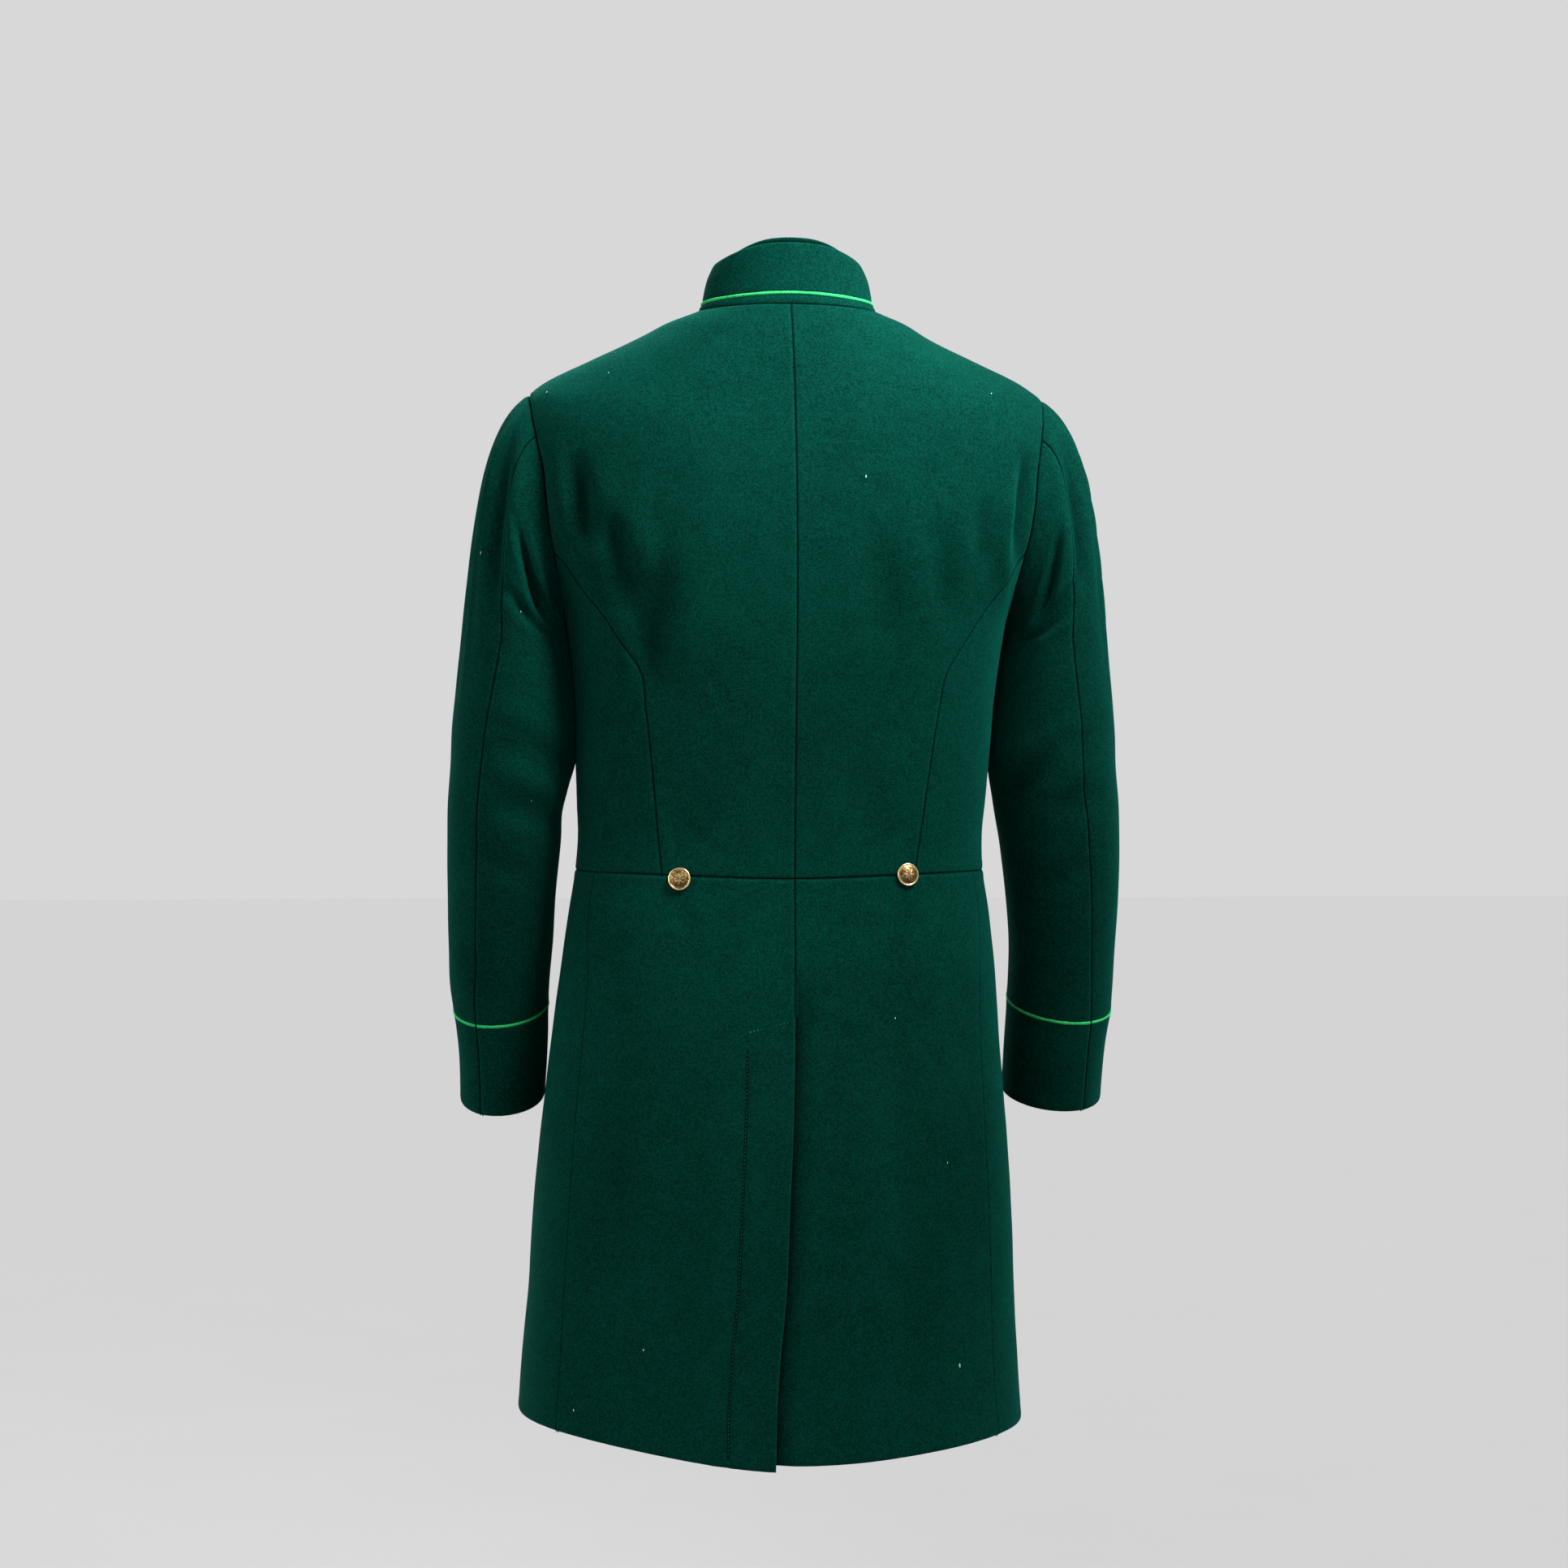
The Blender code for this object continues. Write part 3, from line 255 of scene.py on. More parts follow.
ARMHOLE_BACK, ARMHOLE_FRONT, ARMHOLE_POWER = 68.0, 62.0, 2.2


def armhole_level(angle):
    """Level of the armhole seam at an angle round it: 0 is the shoulder tip, 90 degrees the back."""
    cosine = np.cos(angle)
    half = (UNDERARM_LEVEL - SHOULDER_LEVEL) / 2
    return SHOULDER_LEVEL + half - half * np.sign(cosine) * np.abs(cosine) ** (2 / ARMHOLE_POWER)


def armhole_turn(angle):
    level = armhole_level(angle)
    sine = np.sin(angle)
    y = np.where(sine >= 0, ARMHOLE_BACK, ARMHOLE_FRONT) * np.sign(sine) * np.abs(sine) ** (2 / ARMHOLE_POWER)
    deep = np.where(y >= 0, body(level, "y_back"), body(level, "y_front"))
    power = body(level, "square")
    return np.arctan2(body(level, "half_width") * (1 - np.abs(y / deep) ** power) ** (1 / power), y)


def line(level, turn):
    """A line of levels and turns, one row for each point."""
    level = np.asarray(level, dtype=float)
    return np.stack([level, np.broadcast_to(turn, level.shape)], axis=1)


def lengths(points):
    """Length gone at each point of a line of points."""
    steps = np.linalg.norm(np.diff(points, axis=-2), axis=-1)
    return np.concatenate([np.zeros(steps.shape[:-1] + (1,)), np.cumsum(steps, axis=-1)], axis=-1)


EDGE_STEPS, EDGE_FULL = (0.0, 0.3, 0.8, 1.5, 2.5, 4.0), 24
NEAR_STEPS = (-1.8, -0.8, 0, 0.8, 1.8)
CLOTH_STEP = 4.4


def cells_over(long):
    return int(long / CLOTH_STEP)


def spread(long, count, also=()):
    """Places along a length, close together near both ends and near the places named in also."""
    edge = np.array(EDGE_STEPS) * min(1.0, long / EDGE_FULL)
    middle = np.linspace(edge[-1], long - edge[-1], count)
    for place in also:
        nearest = np.argsort(np.abs(middle - place))[:len(NEAR_STEPS)]
        middle[np.sort(nearest)] = place + np.array(NEAR_STEPS)
    return np.concatenate([edge[:-1], middle, (long - edge[:-1])[::-1]])


def along_line(edge, count):
    """Points of a line of levels and turns, close together near both ends."""
    gone = lengths(plain_body(edge[:, 0], edge[:, 1]))
    places = spread(gone[-1], count)
    return np.stack([np.interp(places, gone, edge[:, part]) for part in (0, 1)], axis=1)


SHARE_STEPS = 121


def rows_between(start, end, count, power=2.5, also=()):
    """Levels and turns of rows from the points of one line to those of another."""
    share = np.linspace(0, 1, SHARE_STEPS)
    level = end[:, :1] + (start[:, :1] - end[:, :1]) * (1 - share) ** power
    turn = start[:, 1:] + (end[:, 1:] - start[:, 1:]) * share
    gone = lengths(plain_body(level, turn))
    places = [spread(row[-1], count, also) for row in gone]
    return tuple(np.array([np.interp(place, row, values) for place, row, values in zip(places, gone, part)])
                 for part in (level, turn))


def new_group(name, inputs, outputs):
    group = bpy.data.node_groups.new(name, "ShaderNodeTree")
    for socket, kind in inputs:
        group.interface.new_socket(socket, in_out="INPUT", socket_type=kind)
    for socket, kind in outputs:
        group.interface.new_socket(socket, in_out="OUTPUT", socket_type=kind)
    return group, group.nodes.new("NodeGroupInput"), group.nodes.new("NodeGroupOutput")


def noise(tree, vector, scale, detail, rough=0.55):
    node = tree.nodes.new("ShaderNodeTexNoise")
    node.inputs["Scale"].default_value = scale
    node.inputs["Detail"].default_value = detail
    node.inputs["Roughness"].default_value = rough
    tree.links.new(vector, node.inputs["Vector"])
    return node.outputs["Fac"]


def maths(tree, operation, first, second=0.0, clamp=False):
    node = tree.nodes.new("ShaderNodeMath")
    node.operation = operation
    node.use_clamp = clamp
    for socket, value in zip(node.inputs, (first, second)):
        if isinstance(value, (int, float)):
            socket.default_value = value
        else:
            tree.links.new(value, socket)
    return node.outputs["Value"]


def map_range(tree, value, low, high, to_low=0.0, to_high=1.0):
    node = tree.nodes.new("ShaderNodeMapRange")
    for name, number in (("From Min", low), ("From Max", high), ("To Min", to_low), ("To Max", to_high)):
        node.inputs[name].default_value = number
    tree.links.new(value, node.inputs["Value"])
    return node.outputs["Result"]


def mix_colours(tree, share, first, second):
    node = tree.nodes.new("ShaderNodeMix")
    node.data_type = "RGBA"
    tree.links.new(share, node.inputs["Factor"])
    for name, colour in (("A", first), ("B", second)):
        socket = [item for item in node.inputs if item.name == name and item.type == "RGBA"][0]
        if isinstance(colour, tuple):
            socket.default_value = colour
        else:
            tree.links.new(colour, socket)
    return [item for item in node.outputs if item.type == "RGBA"][0]


def new_material(name, settings):
    """A material with constants on its shader, and its tree, its shader and the place on the object."""
    material = bpy.data.materials.new(name)
    material.use_nodes = True
    tree = material.node_tree
    shader = tree.nodes["Principled BSDF"]
    for socket, value in settings.items():
        shader.inputs[socket].default_value = value
    return material, tree, shader, tree.nodes.new("ShaderNodeTexCoord").outputs["Object"]


def raise_relief(tree, shader, height, strength, distance):
    relief = tree.nodes.new("ShaderNodeBump")
    relief.inputs["Strength"].default_value = strength
    relief.inputs["Distance"].default_value = distance
    tree.links.new(height, relief.inputs["Height"])
    tree.links.new(relief.outputs["Normal"], shader.inputs["Normal"])


def sum_of(tree, values):
    total = values[0]
    for value in values[1:]:
        total = maths(tree, "ADD", total, value)
    return total


def shade_of(colour, times):
    return tuple(part * times for part in colour[:3]) + (1,)


# Fulled nap: a felted face of short fibres. Fine and grain are single fibres, fleck the curled ones that
# catch the light, cloud and broad the uneven pressing of the nap. Lint is a few pale threads that lie on it.
FINE_TONE, GRAIN_TONE, CLOUD_TONE, BROAD_TONE, MIDDLE_TONE = 0.24, 0.18, 0.06, 0.07, 0.45
FLECK_WIDE, FLECK_LIGHT, FLECK_DARK = 0.085, 0.30, -0.10
LINT_CELLS, LINT_SIZE, LINT_RARE, LINT_SLENDER = 46.0, 0.036, 0.70, 0.42
FINE_RISE, GRAIN_RISE, CLOUD_RISE = 0.55, 0.6, 0.5
nap, nap_in, nap_out = new_group(
    "fulled_nap",
    (("Vector", "NodeSocketVector"), ("Fibre Scale", "NodeSocketFloat")),
    (("Tone", "NodeSocketFloat"), ("Lint", "NodeSocketFloat"), ("Height", "NodeSocketFloat")),
)
fine = noise(nap, nap_in.outputs["Vector"], 1.0, 3, 0.7)
nap.links.new(nap_in.outputs["Fibre Scale"], fine.node.inputs["Scale"])
grain = noise(nap, nap_in.outputs["Vector"], 760.0, 3, 0.6)
cloud = noise(nap, nap_in.outputs["Vector"], 55.0, 4, 0.6)
broad = noise(nap, nap_in.outputs["Vector"], 9.0, 3, 0.5)
fleck = noise(nap, nap_in.outputs["Vector"], 330.0, 2, 0.5)
fleck = maths(nap, "ABSOLUTE", maths(nap, "SUBTRACT", fleck, 0.5))


def tone_of(layer, strength):
    return map_range(nap, layer, 0.3, 0.7, -strength, strength)


tone = sum_of(nap, (
    tone_of(fine, FINE_TONE), tone_of(grain, GRAIN_TONE),
    map_range(nap, fleck, 0.0, FLECK_WIDE, FLECK_LIGHT, FLECK_DARK),
    tone_of(cloud, CLOUD_TONE), tone_of(broad, BROAD_TONE)))
nap.links.new(maths(nap, "ADD", tone, MIDDLE_TONE, clamp=True), nap_out.inputs["Tone"])
cells = nap.nodes.new("ShaderNodeTexVoronoi")
cells.inputs["Scale"].default_value = LINT_CELLS
slender = nap.nodes.new("ShaderNodeMapping")
slender.inputs["Rotation"].default_value = (0.3, 0.5, 0.2)
slender.inputs["Scale"].default_value = (1.0, 1.0, LINT_SLENDER)
nap.links.new(nap_in.outputs["Vector"], slender.inputs["Vector"])
nap.links.new(slender.outputs["Vector"], cells.inputs["Vector"])
parts = nap.nodes.new("ShaderNodeSeparateColor")
nap.links.new(cells.outputs["Color"], parts.inputs["Color"])
lint = maths(nap, "LESS_THAN", cells.outputs["Distance"], LINT_SIZE)
lint = maths(nap, "MULTIPLY", lint, maths(nap, "GREATER_THAN", parts.outputs["Red"], LINT_RARE))
nap.links.new(lint, nap_out.inputs["Lint"])
height = sum_of(nap, [maths(nap, "MULTIPLY", layer, rise) for layer, rise in (
    (fine, FINE_RISE), (grain, GRAIN_RISE), (cloud, CLOUD_RISE))])
nap.links.new(height, nap_out.inputs["Height"])
# Painted highlight mixes toward the light tone made this much lighter, painted shade toward the dark tone made
# this much darker; then the depth of the nap's bumps.
PAINTED_HIGHLIGHT_LIGHTER, PAINTED_SHADE_DARKER, NAP_DEPTH = 2.6, 0.12, 0.0006


def wool(name, dark, light, lint_colour, fibre_scale, bump, sheen, sheen_tint):
    """Fulled wool, from a dark to a light tone of its colour, with lint and a soft sheen of fibre ends."""
    material, tree, shader, place = new_material(name, {
        "Specular IOR Level": 0.006, "Sheen Weight": sheen, "Sheen Roughness": 0.36, "Sheen Tint": sheen_tint})
    fibres = tree.nodes.new("ShaderNodeGroup")
    fibres.node_tree = nap
    fibres.inputs["Fibre Scale"].default_value = fibre_scale
    tree.links.new(place, fibres.inputs["Vector"])
    colour = mix_colours(tree, fibres.outputs["Tone"], dark, light)
    colour = mix_colours(tree, fibres.outputs["Lint"], colour, lint_colour)
    # Painted light from the cloth's attribute: above 0 mixes in painted shade toward a darker copy of the dark
    # tone, below 0 a painted highlight toward a lighter copy of the light tone.
    painted_shade_and_highlight = tree.nodes.new("ShaderNodeAttribute")
    painted_shade_and_highlight.attribute_name = "painted_shade_and_highlight"
    for sign, other in ((-1.0, shade_of(light, PAINTED_HIGHLIGHT_LIGHTER)), (1.0, shade_of(dark, PAINTED_SHADE_DARKER))):
        share = maths(tree, "MULTIPLY", painted_shade_and_highlight.outputs["Fac"], sign, clamp=True)
        colour = mix_colours(tree, share, colour, other)
    tree.links.new(colour, shader.inputs["Base Color"])
    tree.links.new(map_range(tree, fibres.outputs["Tone"], 0.2, 0.8, 0.98, 0.84), shader.inputs["Roughness"])
    raise_relief(tree, shader, fibres.outputs["Height"], bump, NAP_DEPTH)
    material.diffuse_color = light
    return material


green_wool = wool(
    "green_fulled_wool", dark=(0.0002, 0.0052, 0.0034, 1), light=(0.0006, 0.033, 0.0228, 1),
    lint_colour=(0.32, 0.40, 0.35, 1), fibre_scale=2200.0, bump=1.0, sheen=0.08,
    sheen_tint=(0.03, 0.80, 0.60, 1))


FAR_AWAY, SAMPLE_STEP = 1e3, 0.3


def nearest_distance(lines, points):
    """Distance of each point to the nearest of some lines, in millimetres."""
    if not lines:
        return np.full(len(points), FAR_AWAY)
    samples = []
    for edge in lines:
        gone = lengths(edge)
        places = np.linspace(0, gone[-1], max(2, int(gone[-1] / SAMPLE_STEP)))
        samples.append(np.stack([np.interp(places, gone, edge[:, part]) for part in range(3)], axis=1))
    samples = np.concatenate(samples)
    tree = KDTree(len(samples))
    for number, sample in enumerate(samples):
        tree.insert(sample, number)
    tree.balance()
    return np.array([tree.find(point)[2] for point in points])


def rolled(distance, roll):
    """Depth of a rounded edge at a distance from it. A roll is the edge's width and depth."""
    wide, deep = roll
    gone = 1 - np.clip(distance / wide, 0, 1)
    return deep * (1 - np.sqrt(np.maximum(1 - gone ** 2, 0)))


SEAM_ROLL, FAINT_ROLL, FOLD_ROLL, INSIDE_ROLL = (2.6, 1.5), (2.0, 0.8), (2.2, 0.9), (1.6, 0.6)
SEAM_LIP, FOLD_LIP, LIP_PLACE = (0.32, 2.6), (0.22, 3.0), 5.0
PUCKER_HIGH, PUCKER_WIDE, GROOVE_DEEP, GROOVE_WIDE = 0.07, 5.5, 0.8, 1.1
SEAM_ALLOWANCE, ALLOWANCE_SUNK, ON_SEAM = 2.6, 0.3, 0.2
# Painted shade: strength and width along seams, faint seams, grooves and shaded lines.
SEAM_PAINTED_SHADE, FAINT_PAINTED_SHADE, GROOVE_PAINTED_SHADE, SHADED_LINE_PAINTED_SHADE = (0.85, 0.75), (0.35, 0.7), (0.85, 1.1), 0.85
# Painted highlight: strength and width beside seams, a little off the seam, and on folded edges, kept off
# places that already carry painted shade.
SEAM_PAINTED_HIGHLIGHT, HIGHLIGHT_PLACE, FOLD_PAINTED_HIGHLIGHT, HIGHLIGHT_BELOW = (0.06, 0.8), 2.1, (0.14, 1.0), 0.3
# Painted shade in creases: strongest where a crease is this deep.
CREASE_PAINTED_SHADE, CREASE_DEEP = 0.5, 7.0
SMOOTH_ANGLE = math.radians(55)


def past_edges(points, kept):
    """Direction that leaves the cloth at each point on an edge of what is kept, and nothing elsewhere."""
    away = np.zeros(points.shape)
    for axis, step in ((0, 1), (0, -1), (1, 1), (1, -1)):
        ahead = np.roll(kept, -step, axis)
        ahead[(slice(None),) * axis + (-1 if step == 1 else 0,)] = False
        edge = kept & ~ahead
        away[edge] += unit((points - np.roll(points, step, axis))[edge])
    return unit(away)


def lay_cloth(name, points, outward, sewn=(), faint=(), turned=(), grooves=(), shaded=(), left_out=None,
              thick=CLOTH_THICK, shade_wide=4.5, pressed=None):
    """A wall of cloth on a grid of points: its sewn edges roll into the seam, faint ones less, and its turned
    edges are rounded. Grooves are pressed in along a line, and a shaded line lies just under another edge.
    Shade and light are painted into the nap colour: painted shade along the seams, faint seams, grooves and
    shaded lines (above 0), a painted highlight where the cloth stands proud beside a seam or on a fold (below
    0), and more painted shade in the creases, from their depth as given in pressed. A small allowance goes on
    inside past each sewn edge."""
    rows, columns = points.shape[:2]
    bpy.ops.object.select_all(action="DESELECT")
    bpy.ops.mesh.primitive_grid_add(x_subdivisions=columns - 1, y_subdivisions=rows - 1, size=1)
    piece = bpy.context.object
    piece.name = piece.data.name = name
    piece.data.vertices.foreach_set("co", (points * MM).ravel())
    piece.data.update()
    kept = np.ones((rows, columns), dtype=bool) if left_out is None else ~left_out
    away = past_edges(points, kept)[kept]
    points, outward = points.reshape(-1, 3), outward.reshape(-1, 3)
    normals = np.array([vertex.normal for vertex in piece.data.vertices])
    bpy.ops.object.mode_set(mode="EDIT")
    if (normals * outward).sum() < 0:
        bpy.ops.mesh.select_all(action="SELECT")
        bpy.ops.mesh.flip_normals()
    if left_out is not None:
        bpy.ops.mesh.select_all(action="DESELECT")
        bpy.ops.object.mode_set(mode="OBJECT")
        piece.data.vertices.foreach_set("select", left_out.ravel())
        bpy.ops.object.mode_set(mode="EDIT")
        bpy.ops.mesh.delete(type="VERT")
        points, outward = points[~left_out.ravel()], outward[~left_out.ravel()]
    bpy.ops.object.mode_set(mode="OBJECT")
    wall = piece.modifiers.new("wall", "SOLIDIFY")
    wall.thickness, wall.offset = thick * MM, -1
    bpy.ops.object.modifier_apply(modifier="wall")
    to_seam, to_faint, to_fold, to_groove, to_shade = (
        nearest_distance(lines, points) for lines in (sewn, faint, turned, grooves, shaded))
    depth = np.maximum(rolled(to_seam, SEAM_ROLL), rolled(to_faint, FAINT_ROLL)) + rolled(to_fold, FOLD_ROLL)
    pucker = np.sin(points[:, 2] / 1.9 + points[:, 0] / 2.3 + 1.4 * np.sin(points[:, 2] / 13))
    for (high, wide), distance in ((SEAM_LIP, to_seam), (FOLD_LIP, to_fold)):
        depth -= high * bell(distance, wide, LIP_PLACE)
    depth -= PUCKER_HIGH * pucker * bell(to_seam, PUCKER_WIDE)
    depth += GROOVE_DEEP * bell(to_groove, GROOVE_WIDE)
    whole = np.empty(len(piece.data.vertices) * 3)
    piece.data.vertices.foreach_get("co", whole)
    whole = whole.reshape(-1, 3)
    count = len(points)
    whole[:count] -= outward * depth[:, None] * MM
    whole[count:2 * count] += outward * rolled(to_fold, INSIDE_ROLL)[:, None] * MM
    on_seam = (np.minimum(to_seam, to_faint) < ON_SEAM)[:, None]
    whole[count:2 * count] += (away * SEAM_ALLOWANCE - outward * ALLOWANCE_SUNK) * on_seam * MM
    piece.data.vertices.foreach_set("co", whole.ravel())
    piece.data.update()
    # Painted shade along seams, faint seams, grooves and shaded lines.
    painted_shade_and_highlight = np.zeros(len(whole))
    for (dark, wide), distance in ((SEAM_PAINTED_SHADE, to_seam), (FAINT_PAINTED_SHADE, to_faint), (GROOVE_PAINTED_SHADE, to_groove),
                                   ((SHADED_LINE_PAINTED_SHADE, shade_wide), to_shade)):
        painted_shade_and_highlight[:count] = np.maximum(painted_shade_and_highlight[:count], dark * bell(distance, wide))
    # Painted highlight where the cloth stands proud beside seams and on folded edges, which catch the light.
    wear_and_painted_highlight = SEAM_PAINTED_HIGHLIGHT[0] * bell(to_seam, SEAM_PAINTED_HIGHLIGHT[1], HIGHLIGHT_PLACE)
    wear_and_painted_highlight = wear_and_painted_highlight + FOLD_PAINTED_HIGHLIGHT[0] * bell(to_fold, FOLD_PAINTED_HIGHLIGHT[1])
    painted_shade_and_highlight[:count] -= wear_and_painted_highlight * (painted_shade_and_highlight[:count] < HIGHLIGHT_BELOW)
    # Painted shade in the creases, deeper ones darker.
    if pressed is not None:
        crease_painted_shade = CREASE_PAINTED_SHADE * np.clip(pressed[kept] / CREASE_DEEP, 0, 1)
        painted_shade_and_highlight[:count] += crease_painted_shade * (1 - np.maximum(painted_shade_and_highlight[:count], 0))
    piece.data.attributes.new("painted_shade_and_highlight", "FLOAT", "POINT").data.foreach_set("value", painted_shade_and_highlight)
    bpy.ops.object.shade_smooth_by_angle(angle=SMOOTH_ANGLE)
    piece.data.materials.clear()
    piece.data.materials.append(green_wool)
    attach(piece, "root")
    return piece


def sides_of(points):
    return {"top": points[0], "bottom": points[-1], "start": points[:, 0], "end": points[:, -1]}


def lay_on_body(name, level, turn, side, sunk=0.0, **edges):
    """A cloth piece on the body or skirt. The right side mirrors the turn. Edges name the grid's sides, or give
    a line of its points."""
    turn = turn if side == "left" else 2 * math.pi - turn
    points = body_skin(level, turn)
    outward = outward_of(body_skin, level, turn, *BROAD_STEPS)
    # Depth of the creases, used for painted shade in them.
    pressed = ((plain_body(level, turn) - points) * outward).sum(axis=-1)
    points = points - outward * np.asarray(sunk)[..., None]
    sides = sides_of(points)
    found = {kind: [sides[edge] if isinstance(edge, str) else edge(points) for edge in edges.get(kind, ())]
             for kind in ("sewn", "faint", "turned", "grooves", "shaded")}
    return lay_cloth(name, points, outward, left_out=edges.get("left_out"), pressed=pressed, **found)


def on_side(side, value):
    return value if side == "left" else -value


def back_seam_turn(level, side):
    """Turn of the middle seam of the back, as the given side counts it."""
    return on_side(side, turn_at(level, read_table(BACK_SEAM_COLUMNS, BACK_SEAM, level, "x"), "back"))


CURVED_SEAM_BLEND = 12


def curved_seam_turn(level):
    reach = read_table(CURVED_SEAM_COLUMNS, CURVED_SEAM, level, "reach")
    own = turn_at(level, body(level, "sway") + reach, "back")
    top = float(armhole_level(CURVED_SEAM_ANGLE))
    blend = smooth_step(level, top, top + CURVED_SEAM_BLEND)
    return armhole_turn(CURVED_SEAM_ANGLE) * (1 - blend) + own * blend


SHOULDER_LINE = line(np.linspace(0, SHOULDER_LEVEL, 40), math.pi / 2)
CURVED_TOP = float(armhole_level(CURVED_SEAM_ANGLE))
curved_levels = np.linspace(CURVED_TOP, WAIST_LEVEL, 90)
curved_line = line(curved_levels, curved_seam_turn(curved_levels))

def armhole_line(start, end, count):
    """The armhole seam from one angle to another, as levels and turns."""
    angles = np.linspace(start, end, count)
    return line(armhole_level(angles), armhole_turn(angles))


back_side = np.concatenate([SHOULDER_LINE, armhole_line(0, CURVED_SEAM_ANGLE, 80)[1:-1], curved_line])
SIDE_LINE_LONG, BACK_WIDE, SIDE_BODY_LONG, SIDE_BODY_WIDE = 640, 240, 300, 90


def middle_line(end, turn_of, side):
    """Points down the middle of the coat that face those of a side line."""
    gone = lengths(plain_body(end[:, 0], end[:, 1]))
    levels = gone / gone[-1] * WAIST_LEVEL
    return line(levels, turn_of(levels, side))


for side in ("left", "right"):
    end = along_line(back_side, cells_over(SIDE_LINE_LONG))
    level, turn = rows_between(middle_line(end, back_seam_turn, side), end, cells_over(BACK_WIDE))
    back = lay_on_body(f"back_cloth_{side}", level, turn, side, sewn=("top", "bottom", "start", "end"))
    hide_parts(f"back_{side}")

# The side bodies: narrow panels under the arms, each sewn along the curved seam to a back and along the
# straight side seam to a front. Their upper edges are sewn into the armholes.
SIDE_SEAM_TURN = float(armhole_turn(math.pi))
for side in ("left", "right"):
    rows = spread(float(lengths(plain_body(*curved_line.T))[-1]), cells_over(SIDE_BODY_LONG))
    share = (rows / rows[-1])[:, None]
    top = armhole_line(CURVED_SEAM_ANGLE, math.pi, 60)
    gone = lengths(plain_body(*top.T))
    places = spread(gone[-1], cells_over(SIDE_BODY_WIDE))
    top_level, top_turn = (np.interp(places, gone, top[:, part]) for part in (0, 1))
    across = (places / places[-1])[None, :]
    curved_level = CURVED_TOP + (WAIST_LEVEL - CURVED_TOP) * share
    side_level = UNDERARM_LEVEL + (WAIST_LEVEL - UNDERARM_LEVEL) * share
    level = curved_level * (1 - across) + side_level * across
    level = level + (1 - share) * (top_level - level[0])
    turn = curved_seam_turn(curved_level) * (1 - across) + SIDE_SEAM_TURN * across
    turn = turn + (1 - share) ** 2 * (top_turn - turn[0])
    panel = lay_on_body(f"side_body_cloth_{side}", level, turn, side, sewn=("top", "bottom", "start", "end"))
    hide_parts(f"side_body_{side}")

# The fronts: the left one laps over the right one down the middle and carries the row of buttons. Their free
# edges are turned in and pressed.
FRONT_LAP, LAP_DEPTH, LAP_FROM, LAP_TO = 18.0, 3.1, 34, 8
FRONT_WIDE = 290


def front_edge_turn(level, side):
    turn = turn_at(level, on_side(side, -FRONT_LAP), "front")
    return turn if side == "left" else 2 * math.pi - turn


def lap_sunk(level, turn, side):
    """How far the right front lies under the left one near the middle."""
    x = plain_body(level, 2 * math.pi - turn)[..., 0]
    return LAP_DEPTH * smooth_step(x, -FRONT_LAP - LAP_FROM, -FRONT_LAP - LAP_TO) * (side == "right")


side_levels = np.linspace(UNDERARM_LEVEL, WAIST_LEVEL, 60)
front_side = np.concatenate([
    SHOULDER_LINE, armhole_line(2 * math.pi, math.pi, 120)[1:-1], line(side_levels, SIDE_SEAM_TURN)])
for side in ("left", "right"):
    end = along_line(front_side, cells_over(SIDE_LINE_LONG))
    level, turn = rows_between(middle_line(end, front_edge_turn, side), end, cells_over(FRONT_WIDE))
    front = lay_on_body(f"front_cloth_{side}", level, turn, side, lap_sunk(level, turn, side),
                        sewn=("top", "bottom", "end"), turned=("start",))
    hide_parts(f"front_{side}")

# The skirts: a back and a front on each side, sewn to the body at the waist. The back ones part below the
# vent top, the left lying over an underlap of the right. The vent's facing is stitched down in one line.
HEM_LEVEL, VENT_TOP, VENT_UNDERLAP, VENT_SLOPE, VENT_DEPTH, VENT_LIFT = 1005.0, 630.0, 41.0, 9.0, 5.0, 2.2
VENT_SLOPE_LONG, VENT_LIFT_WIDE = 120, 22
LEFT_HEM_DROP, HEM_DROP_FROM, FLAP_ABOVE, FLAP_CLEAR = 5.0, 900, 50.0, 0.6
OPENING_FROM, OPENING_TO, SUNK_FROM, SUNK_TO = 45, 4, 20, 1
SKIRT_SEAM_COLUMNS = ("level", "reach")
SKIRT_SEAM = (
    (512, 172), (560, 174), (660, 179), (730, 184), (800, 188), (866, 191), (960, 195), (1005, 198),
)
WAIST_SEAM_SHARE, SKIRT_SEAM_BLEND = 0.545, 100
SKIRT_BACK_WIDE, SKIRT_FRONT_WIDE = 230, 300


def skirt_seam_turn(level):
    reach = read_table(SKIRT_SEAM_COLUMNS, SKIRT_SEAM, level, "reach")
    own = turn_at(level, body(level, "sway") + reach, "back")
    curved = float(curved_seam_turn(WAIST_LEVEL))
    top = curved + (SIDE_SEAM_TURN - curved) * WAIST_SEAM_SHARE
    blend = smooth_step(level, WAIST_LEVEL, WAIST_LEVEL + SKIRT_SEAM_BLEND)
    return top * (1 - blend) + own * blend


def skirt_grid(edge_turn, side, wide, also=()):
    """Levels and turns of a skirt panel from its middle edge to its side seam."""
    above = spread(VENT_TOP - WAIST_LEVEL, cells_over(VENT_TOP - WAIST_LEVEL)) + WAIST_LEVEL
    below = spread(HEM_LEVEL - VENT_TOP, cells_over(HEM_LEVEL - VENT_TOP)) + VENT_TOP
    levels = np.concatenate([above, below[1:]])
    start, end = line(levels, edge_turn(levels, side)), line(levels, skirt_seam_turn(levels))
    return levels, *rows_between(start, end, cells_over(wide), 1.0, also)


def nearest_place(values, wanted):
    return int(np.argmin(np.abs(values - wanted)))


